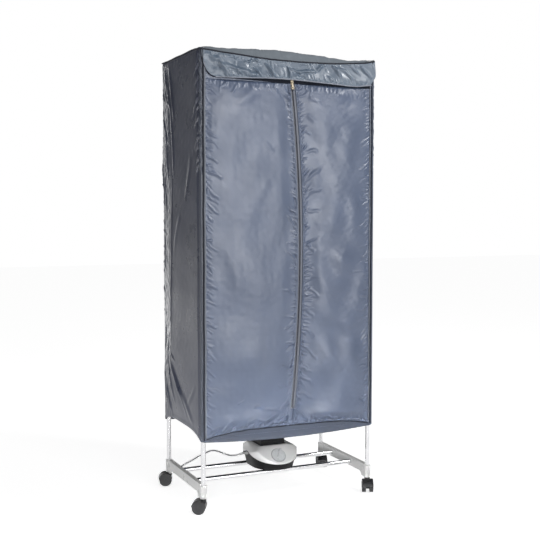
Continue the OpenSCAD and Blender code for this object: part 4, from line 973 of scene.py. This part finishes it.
RIGHT_DOOR_FOLDS = [
    (45, 1404, 62, 1388, 5, 3.0, 1), (78, 1404, 92, 1382, 5, 2.8, 1), (104, 1406, 74, 1384, 5, 2.8, 3),
    (130, 1404, 142, 1380, 5, 2.8, 1), (165, 1404, 172, 1376, 5, 3.0, 1), (200, 1402, 212, 1372, 6, 3.0, 1),
    (236, 1400, 246, 1374, 5, 2.8, 1), (268, 1398, 276, 1372, 5, 2.8, 1), (60, 1362, 110, 1342, 8, 2.8, 4),
    (50, 1310, 88, 1280, 7, 2.2, 3), (48, 1262, 74, 1238, 5, 3.0, 1), (52, 1187, 104, 1186, 8, 4.0, 3),
    (46, 1078, 112, 1132, 8, 5.4, 6), (52, 1039, 114, 1062, 7, 4.2, 4), (46, 993, 110, 988, 7, 3.6, -4),
    (43, 928, 72, 934, 5, 3.0, 1), (43, 894, 86, 848, 6, 4.2, 2), (46, 834, 80, 850, 5, 3.4, 1),
    (49, 808, 86, 793, 5, 3.4, 1), (46, 734, 106, 702, 5.5, 4.6, 3), (48, 687, 80, 686, 4.5, 3.4, 1),
    (46, 662, 88, 630, 5, 3.6, 2), (47, 595, 88, 558, 5, 3.8, 2), (48, 528, 100, 489, 6, 4.2, 3),
    (41, 433, 84, 392, 6, 4.2, 3), (35, 378, 84, 350, 6, 3.8, 3), (42, 470, 66, 452, 4, 2.6, 1),
    (296, 1240, 262, 1218, 5, 2.8, 1), (296, 1150, 256, 1128, 5, 2.8, 1), (298, 1062, 270, 1060, 4, 2.8, 1),
    (294, 1022, 258, 1046, 6, 3.2, 2), (295, 954, 252, 930, 6, 3.2, 2), (296, 834, 264, 838, 4.5, 3.0, 1),
    (296, 783, 205, 783, 4, 2.6, 2), (296, 697, 260, 693, 4.5, 3.4, 1), (296, 657, 246, 647, 5, 3.4, 1),
    (296, 560, 268, 540, 5, 2.4, 1), (296, 455, 254, 452, 5, 2.6, 1), (296, 312, 256, 338, 7, 3.0, 3),
    (24, 317, 66, 276, 5, 4.4, 2), (66, 274, 98, 288, 5, 3.8, 3), (98, 284, 180, 277, 4, 3.2, 3),
    (180, 270, 290, 258, 4, 2.6, 2), (130, 290, 160, 276, 5, 2.4, 1), (150, 1250, 230, 1120, 30, 3.0, 8),
    (120, 880, 220, 760, 34, 2.8, 10), (200, 620, 262, 480, 32, 2.6, 8), (120, 1220, 200, 1340, 30, 2.4, -8),
]


class DRYER_OT_doors(bpy.types.Operator):
    """The two front door cloths, with their folds, gathers and stitches"""
    bl_idname = "dryer.doors"
    bl_label = "Doors"

    def execute(self, context):
        settings = context.scene.dryer_cover
        material = nylon("door_nylon", settings.door_colour, "XZ")
        thread = nylon("door_thread", shade(settings.door_colour, 1.25), "XZ", crinkle=0.1)
        for side, name in SIDES:
            self.add_door(side, name, material, thread, settings.fold_depth)
        return {"FINISHED"}

    @staticmethod
    def add_door(side, name, material, thread, depth):
        """A door's cloth, from the piping (u is 0) to the zip, and from the bottom seam up to the header."""
        left = side < 0
        body = f"{name}_door"
        u, v = np.meshgrid(spread(130), np.linspace(0, 1, 540))
        middle_low = seam_z(0) + DOOR_LIFT
        # The right door stops further from the teeth, so that more of its tape shows
        edge = zip_x(middle_low + v * (DOOR_TOP - middle_low), -6.3 if left else 9.6)
        hinge = side * HINGE_X
        x = hinge + u * (edge - hinge)
        low = seam_z(x) + DOOR_LIFT
        z = low + v * (DOOR_TOP - low)
        from_hinge, from_zip = np.abs(x - hinge), np.abs(x - edge)
        above, below = z - low, DOOR_TOP - z
        inner = (smooth(from_hinge / 30) * smooth(from_zip / 64) * smooth(above / 40)
                 * smooth((below + 8) / 40))
        wide = smooth(from_hinge / 90) * smooth(from_zip / 70) * smooth(above / 80) * smooth((below + 8) / 60)
        bulge = 8.0 * np.sin(np.pi * u) if left else 13.0 * np.sin(np.pi * u ** 1.2)
        broad, middling = (3.2, 0.9) if left else (4.8, 2.6)
        reach = np.maximum(30, 44 + 12 * ripple(x * 0.2, z, 40, 120, 250 + side))
        rise = 2.4 * smooth((from_hinge - 4) / reach)
        rise *= 0.3 + 0.7 * smooth((z - 1040) / 160)
        relief = inner * (bulge + middling * ripple(x, z, 80, 170, 110 + side)
                          + 0.16 * ripple(x, z, 18, 40, 120 + side))
        relief += wide * broad * ripple(x, z, 190, 480, 100 + side)
        relief += rise * smooth(from_zip / 64) * smooth(above / 40)

        def fan(t):
            """Gathers beside the zip point upwards, and downwards towards its foot."""
            angle = 38 - 86 * float(smooth((960 - t) / 560))
            return 180 - angle if left else angle

        p, q = warped(x, z, 230 + side)
        relief += gathers(p, q, lambda t: (float(zip_x(t, side * TAPE_W)), t), (285, 1400), fan, 130 + side,
                          gap=(8, 15), length=(12, 28) if left else (16, 40), width=(3.0, 4.6),
                          height=(3.8, 5.8))
        relief += gathers(p, q, seam_up(side * 300.0), (290, 1400), -35 if left else 205, 140 + side,
                          length=(12, 34), width=(2.8, 4.4), height=(2.4, 4.2))
        relief += gathers(p, q, seam_across(DOOR_TOP), (-290, 0) if left else (40, 295), -95, 150 + side,
                          length=(12, 36), width=(3.0, 4.6), height=(1.8, 3.6))
        relief += gathers(p, q, lambda t: (t, float(seam_z(t)) + 3), (-290, -10) if left else (20, 295),
                          55 if left else 125, 160 + side, gap=(10, 22), length=(12, 36), width=(3.2, 5.0),
                          height=(3.4, 5.6))
        relief += folds(p, q, LEFT_DOOR_FOLDS) if left else 0.75 * folds(p, q, RIGHT_DOOR_FOLDS)
        sewn = smooth((from_hinge - 3) / 5) * smooth((from_zip - 1) / 7)
        relief *= 1 + 0.4 * smooth((620 - z) / 260)
        relief = depth * relief * sewn * smooth(above / 5) * smooth((below + 3) / 10)
        # Folded edge over the zip tape, with its stitch line
        relief += 1.4 * smooth(from_zip / 1.6) * (1 - smooth((from_zip - 8) / 3))
        relief += 1.3 * ridge(from_zip, 2.2, 1.5)
        relief -= 0.8 * ridge(from_zip, 9.5, 1.4)
        # Rolled edge over the bottom seam
        roll = 2.6 + 1.5 * ripple(x, x * 0.3, 30, 90, 240 + side)
        relief += np.maximum(roll, 0.8) * ridge(above, 3.5, 3.0)
        relief -= 1.6 * ridge(above, 10, 3.0)
        # Over the posts and the tape the cloth can't sink, elsewhere it can
        sink = 0.4 + 4 * smooth((from_hinge - 14) / 14) * smooth((from_zip - 3) / 8)
        points = points_at(x, -COVER_Y - np.maximum(relief, -sink), z, flip=not left)
        # The stitches follow one of the cloth's own columns, 6 mm from the zip's edge
        column = int(np.argmin(np.abs(from_zip[200] - 6.0)))
        row = points[6:, column if left else points.shape[1] - 1 - column] - [0, 0.15, 0]
        stitches = stitch_piece(f"{name}_placket_stitches", row, thread, body)
        cloth_piece(f"{name}_door_cloth", points, material, door_fold(side, name), [f"door_{name}"])


class DRYER_OT_zip(bpy.types.Operator):
    """The curved zip: tapes, teeth, slider, pull and sewn foot"""
    bl_idname = "dryer.zip"
    bl_label = "Zip"

    def execute(self, context):
        settings = context.scene.dryer_cover
        tape = nylon("zip_tape_weave", settings.tape_colour, "XZ", rough=0.6, crinkle=0.15)
        teeth = plastic("zip_teeth_nylon", shade(settings.tape_colour, 0.2), rough=0.35)
        cloth = nylon("placket_nylon", settings.door_colour, "XZ")
        parts = [(f"zip_{name}", side, ZIP_LOW + ZIP_GAP, ZIP_HIGH - ZIP_GAP, f"{name}_door", [f"zip_{name}"])
                 for side, name in SIDES]
        parts += [(f"zip_top_{name}", side, ZIP_HIGH, ZIP_END, CABINET, []) for side, name in SIDES]
        for name, side, low, high, body, nodes in parts:
            self.add_tape(name, side, low, high, body, nodes, tape)
            self.add_teeth(name, side, low, high, body, teeth)
        self.add_foot(cloth)
        brass = metal("zip_brass", (0.42, 0.36, 0.26), rough=0.3, edge=0.0006)
        dress(brass, "zip_slider", "zip_pull")
        return {"FINISHED"}

    @staticmethod
    def add_tape(name, side, low, high, body, nodes, material):
        count = max(6, int((high - low) / 6))
        w, z = np.meshgrid(np.linspace(0.9, TAPE_W, 12), np.linspace(low, high, count))
        y = TAPE_Y + 0.25 * np.cos(w * 2.2) - 0.3 * ridge(w, 3.6, 0.8)
        points = points_at(zip_x(z, side * w), y, z, flip=side < 0)
        cloth_piece(f"{name}_tape", points, material, body, nodes)

    @staticmethod
    def add_teeth(name, side, low, high, body, material):
        z = np.linspace(low, high, max(8, int((high - low) / 4)))
        line = points_at(zip_x(z, side * 2.1), TEETH_Y, z)
        block, faces = repeat_block(*along(line, 2.3), TO_FRONT, (1.5, 2.5, 1.9), taper=0.72)
        add_object(f"{name}_teeth", block * MM, faces, material, body)

    @staticmethod
    def add_foot(cloth):
        """The sewn foot of the zip, between its lower stop and the bottom seam."""
        low = seam_z(0)
        w, z = np.meshgrid(np.linspace(-TAPE_W, TAPE_W, 40), np.linspace(low - 1, ZIP_LOW, 44))
        relief = ridge(np.abs(w), 4.6, 1.3) + 0.25 * ripple(w * 2, z, 12, 30, 171) - 0.7 * ridge(w, 0, 1.2)
        channel = smooth((7.6 - np.abs(w)) / 1.4) * smooth((z - low - 15) / 5)      # the slider parks in it
        y = (0.1 - COVER_Y - relief * smooth((z - low) / 6)) * (1 - channel) + CHANNEL_Y * channel
        cloth_piece("zip_foot_cloth", points_at(zip_x(z, w), y, z), cloth, CABINET, [])


class DRYER_OT_front_cloth(bpy.types.Operator):
    """Header behind the flap, a dark tape of painted shadow under the flap, the bottom band in painted shade
    and a dark cord of painted shadow along its seam
    """
    bl_idname = "dryer.front_cloth"
    bl_label = "Header and band"

    def execute(self, context):
        settings = context.scene.dryer_cover
        self.add_header(nylon("header_nylon", settings.door_colour, "XZ"))
        self.add_flap_shadow(settings)
        self.add_band(settings)
        self.add_seam_shadow(settings)
        return {"FINISHED"}

    @staticmethod
    def add_header(material):
        """The fixed cloth behind the flap, from the doors' top to the roof's edge."""
        x, v = np.meshgrid(np.linspace(-STRIP_X, STRIP_X, 240), np.linspace(0, 1, 44))
        top = roof_edge(x) + 0.5
        z = HEADER_LOW + v * (top - HEADER_LOW)
        relief = 0.3 * ripple(x, z, 30, 80, 181) + 0.2
        relief += gathers(x, z, seam_up(-300.0), (1412, 1490), -35, 182, length=(10, 26)) * (x < -262)
        relief *= smooth((STRIP_X - np.abs(x)) / 8) * smooth((top - z) / 8)
        relief += 1.5 * ridge(STRIP_X - np.abs(x), 4.6, 2.6)
        points = points_at(x, -COVER_Y - np.clip(relief, -0.6, 2.2), z)
        cloth_piece("header_cloth", points, material, CABINET, ["cover_header"])

    @staticmethod
    def add_band(settings):
        """The band along the bottom of the front, below the doors, in the doors' colour at half: painted
        shade of the recessed band.
        """
        band = nylon("shaded_band_nylon", shade(settings.door_colour, 0.5), "XZ", crinkle=0.1, gloss=0.7)
        thread = nylon("band_thread", shade(settings.door_colour, 1.2), "XZ", crinkle=0.1)
        x, v = np.meshgrid(np.linspace(-STRIP_X, STRIP_X, 260), np.linspace(0, 1, 26))
        low, top = front_hem(x), seam_z(x)
        z = low + v * (top - low)
        relief = 0.35 * ripple(x, z, 40, 160, 191) + 0.3
        relief += 0.9 * ridge(z - low, 3, 3) - 0.5 * ridge(top - z, 1.5, 1.2)
        points = points_at(x, -COVER_Y - np.clip(relief, -0.5, 2), z)
        stitches = stitch_piece("band_stitches", points[15] - [0, 0.2, 0], thread, CABINET)
        cloth_piece("band_cloth", points, band, CABINET, ["cover_band"])

    @staticmethod
    def add_seam_shadow(settings):
        """A dark cord along the seam between the doors' lower edge and the band: painted shadow under the
        doors' rolled edge.
        """
        dark = nylon("seam_shadow_nylon", shade(settings.piping_colour, 1.2), "XZ", rough=0.6, crinkle=0.1,
                     gloss=0.3)
        x = np.linspace(8 - STRIP_X, STRIP_X - 6, 320)
        z = seam_z(x) - 0.7 + 1.0 * ripple(x, x * 0.3, 26, 90, 192)
        tube_piece("band_seam_shadow", points_at(x, -COVER_Y - 1.1, z), 1.6, dark, CABINET)

    @staticmethod
    def add_flap_shadow(settings):
        """A dark tape along the header's lower edge, under the flap: painted shadow of the flap."""
        dark = nylon("flap_shadow_tape", settings.piping_colour, "XZ", rough=0.7, crinkle=0.1, gloss=0.2)
        x, v = np.meshgrid(np.linspace(-266, 304, 200), np.linspace(0, 1, 9))
        high = flap_edge(x) + 3
        drop = np.interp(x, [-266, -200, -120, -60, 304], [1, 3, 8, 13, 13])
        low = np.maximum(HEADER_LOW, flap_edge(x) - drop)
        y = -COVER_Y - 1.9 - 0.7 * ridge(v, 0.15, 0.15)
        cloth_piece("painted_flap_shadow", points_at(x, y, low + v * (high - low)), dark, CABINET, [])


FLAP_FOLDS = [
    (-300, 1492, -214, 1420, 12, 3.6, 6), (-240, 1462, -108, 1424, 9, 3.4, -5),
    (-123, 1482, -168, 1466, 4, 2.4, 2), (-140, 1452, -106, 1421, 5, 3.0, 4),
    (-98, 1468, -56, 1424, 6, 3.4, 5), (-150, 1476, -100, 1462, 5, -2.0, 2), (-13, 1462, -6, 1424, 5, 3.6, 3),
    (-2, 1455, 92, 1454, 6, 3.6, -4), (92, 1453, 132, 1480, 6, 3.0, 3), (-196, 1438, -171, 1424, 4, 1.8, 2),
    (-154, 1446, -127, 1422, 4, 2.0, 2), (-60, 1478, -20, 1458, 6, -2.4, 3), (10, 1444, 60, 1420, 6, -2.2, 4),
    (60, 1474, 20, 1462, 5, 2.0, -2), (150, 1478, 185, 1440, 7, 3.2, 4), (180, 1470, 235, 1428, 7, 3.0, 5),
    (215, 1478, 262, 1450, 6, 2.4, 3), (250, 1486, 306, 1440, 7, 3.0, 4), (130, 1440, 160, 1420, 5, 2.0, 2),
    (-268, 1470, -246, 1440, 8, -3.0, 2), (-230, 1486, -170, 1478, 5, 1.6, -2),
]


class DRYER_OT_flap(bpy.types.Operator):
    """The wrinkled flap over the zip's top"""
    bl_idname = "dryer.flap"
    bl_label = "Flap"

    def execute(self, context):
        settings = context.scene.dryer_cover
        depth = settings.fold_depth
        material = nylon("flap_nylon", settings.flap_colour, "XZ", rough=0.36, crinkle=0.35)
        # The hem and its stitches are coloured lighter than the flap: painted highlight along the hem
        hem_highlight_cloth = nylon("flap_hem_highlight_nylon", shade(settings.welt_highlight_colour, 1.35), "XZ", crinkle=0.1)
        cord = nylon("flap_piping", settings.piping_colour, "XZ", rough=0.6, crinkle=0.05, gloss=0.3)
        u, v = np.meshgrid(np.linspace(0, 1, 300), np.linspace(0, 1, 56))
        left = FLAP_LEFT + 47 * (1 - np.sqrt(np.maximum(1 - v ** 2.2, 0)))
        right = FLAP_RIGHT - 19 * smooth((v - 0.6) / 0.4)
        x = left + u * (right - left)
        top = roof_edge(x) - 0.5
        z = top + v * (flap_edge(x) - top)
        p, q = warped(x, z, 260, 2.2)
        relief = 2.0 * folds(p, q, FLAP_FOLDS) + 1.6 * ripple(p, q, 50, 120, 201)
        relief += 0.15 * ripple(p, q, 16, 34, 202)
        relief += gathers(p, q, lambda t: (t, float(roof_edge(t)) - 2), (-290, 310), -75, 203,
                          length=(10, 34), width=(3.2, 4.8), height=(1.2, 3.2))
        relief += gathers(p, q, lambda t: (t, float(flap_edge(t)) + 4), (-255, 300), 115, 204,
                          length=(8, 30), width=(3.2, 4.8), height=(1.2, 3.2))
        hang = 1.2 + 8.0 * smooth(v * 1.1) * (0.25 + 0.75 * smooth((x - left) / 56))
        relief = depth * relief * smooth(v / 0.12) * (0.25 + 0.75 * smooth((1 - v) / 0.12))
        out = hang + relief * smooth(u / 0.01)
        points = points_at(x, -COVER_Y - np.maximum(out, 1.0 + 2.0 * v), z)
        flap_fold = (CABINET, "flap", (0, -0.1925, 1.488), (0, -0.1925, 1.468))
        hem = tube_piece("flap_hem", points[-1] - [0, 0.8, 0], 2.3, hem_highlight_cloth, "flap",
                         sides=10)
        rim = tube_piece("flap_left_piping", points[:, 0], 1.9, cord, flap_fold, sides=10)
        thread = stitch_piece("flap_stitches", points[51] - [0, 0.2, 0], hem_highlight_cloth, "flap")
        cloth_piece("flap_cloth_sheet", points, material, flap_fold, ["flap"])
        return {"FINISHED"}


class DRYER_OT_piping(bpy.types.Operator):
    """Corded edges of the cover"""
    bl_idname = "dryer.piping"
    bl_label = "Piping"

    def execute(self, context):
        settings = context.scene.dryer_cover
        cord = nylon("edge_piping", settings.piping_colour, "XZ", rough=0.6, crinkle=0.05, gloss=0.3)
        # The welts are real ridges; their lighter colour is a painted highlight
        welt = nylon("door_welt_highlight", settings.welt_highlight_colour, "XZ", rough=0.5, crinkle=0.05)
        x = np.linspace(-316, 319, 160)
        self.add_roof_cord("front", points_at(x, -COVER_Y - 1.2, roof_edge(x) + 0.8), 2.8, cord)
        for side, name in SIDES:
            y = np.linspace(-COVER_Y, COVER_Y, 90)
            z = ROOF_Z + 0.7 * np.sin(y / 23) - 5 * smooth((-150 - y) / 40)
            self.add_roof_cord(name, points_at(side * 320.2 + 0.4 * np.sin(y / 31), y, z), 2.1, cord)
            # The piping down the front's side and the welt beside it
            z = np.linspace(244, 1499, 320)
            x = side * (PIPING_X + (2.0 if side > 0 else 0)) + side * self.waver(z)
            tube_piece(f"front_{name}_piping", points_at(x, -COVER_Y - 1.6 + 0.3 * np.sin(z / 13), z),
                       2.2 if side < 0 else 1.9, cord, door_fold(side, name), sides=10)
            z = np.linspace(250, 1462, 320)
            x = side * (WELT_X + self.waver(z))
            tube_piece(f"front_{name}_welt", points_at(x, -COVER_Y - 0.6 + 0.3 * np.sin(z / 11), z),
                       3.6 if side < 0 else 2.2, welt, door_fold(side, name), sides=10)
        x = np.linspace(-319, 319, 80)
        self.add_roof_cord("rear", points_at(x, COVER_Y + 0.4, ROOF_Z + 0.6 * np.sin(x / 29)), 2.1, cord)
        return {"FINISHED"}

    @staticmethod
    def waver(z):
        """How far the long cords stray sideways."""
        return 0.5 * np.sin(z / 47) + 0.3 * np.sin(z / 19)

    @staticmethod
    def add_roof_cord(name, path, radius, material):
        tube_piece(f"roof_{name}_piping", path, radius, material, CABINET, sides=10)


# ---- Panel and registration ----

OPERATORS = (DRYER_OT_stage, DRYER_OT_cord, DRYER_OT_frame, DRYER_OT_heater, DRYER_OT_body_cloth,
             DRYER_OT_front_cloth, DRYER_OT_zip, DRYER_OT_doors, DRYER_OT_flap, DRYER_OT_piping)
SETTINGS = {"dryer_cover": CoverSettings, "dryer_frame": FrameSettings, "dryer_heater": HeaterSettings,
            "dryer_cord": CordSettings, "dryer_stage": StageSettings}


class DRYER_PT_panel(bpy.types.Panel):
    """Lists the cabinet's pieces and their settings"""
    bl_label = "Drying cabinet"
    bl_idname = "DRYER_PT_panel"
    bl_space_type = "VIEW_3D"
    bl_region_type = "UI"
    bl_category = "Drying cabinet"

    def draw(self, context):
        for name, group in SETTINGS.items():
            box = self.layout.box()
            for key in group.__annotations__:
                box.prop(getattr(context.scene, name), key)
        for operator in OPERATORS:
            self.layout.operator(operator.bl_idname)


def register():
    for cls in (*SETTINGS.values(), *OPERATORS, DRYER_PT_panel):
        bpy.utils.register_class(cls)
    for name, group in SETTINGS.items():
        setattr(bpy.types.Scene, name, bpy.props.PointerProperty(type=group))


def unregister():
    for name in SETTINGS:
        delattr(bpy.types.Scene, name)
    for cls in reversed((*SETTINGS.values(), *OPERATORS, DRYER_PT_panel)):
        bpy.utils.unregister_class(cls)


def main():
    register()
    bpy.context.scene.view_settings.view_transform = "Standard"
    for operator in OPERATORS:
        group, action = operator.bl_idname.split(".")
        getattr(getattr(bpy.ops, group), action)()


if __name__ == "__main__":
    main()
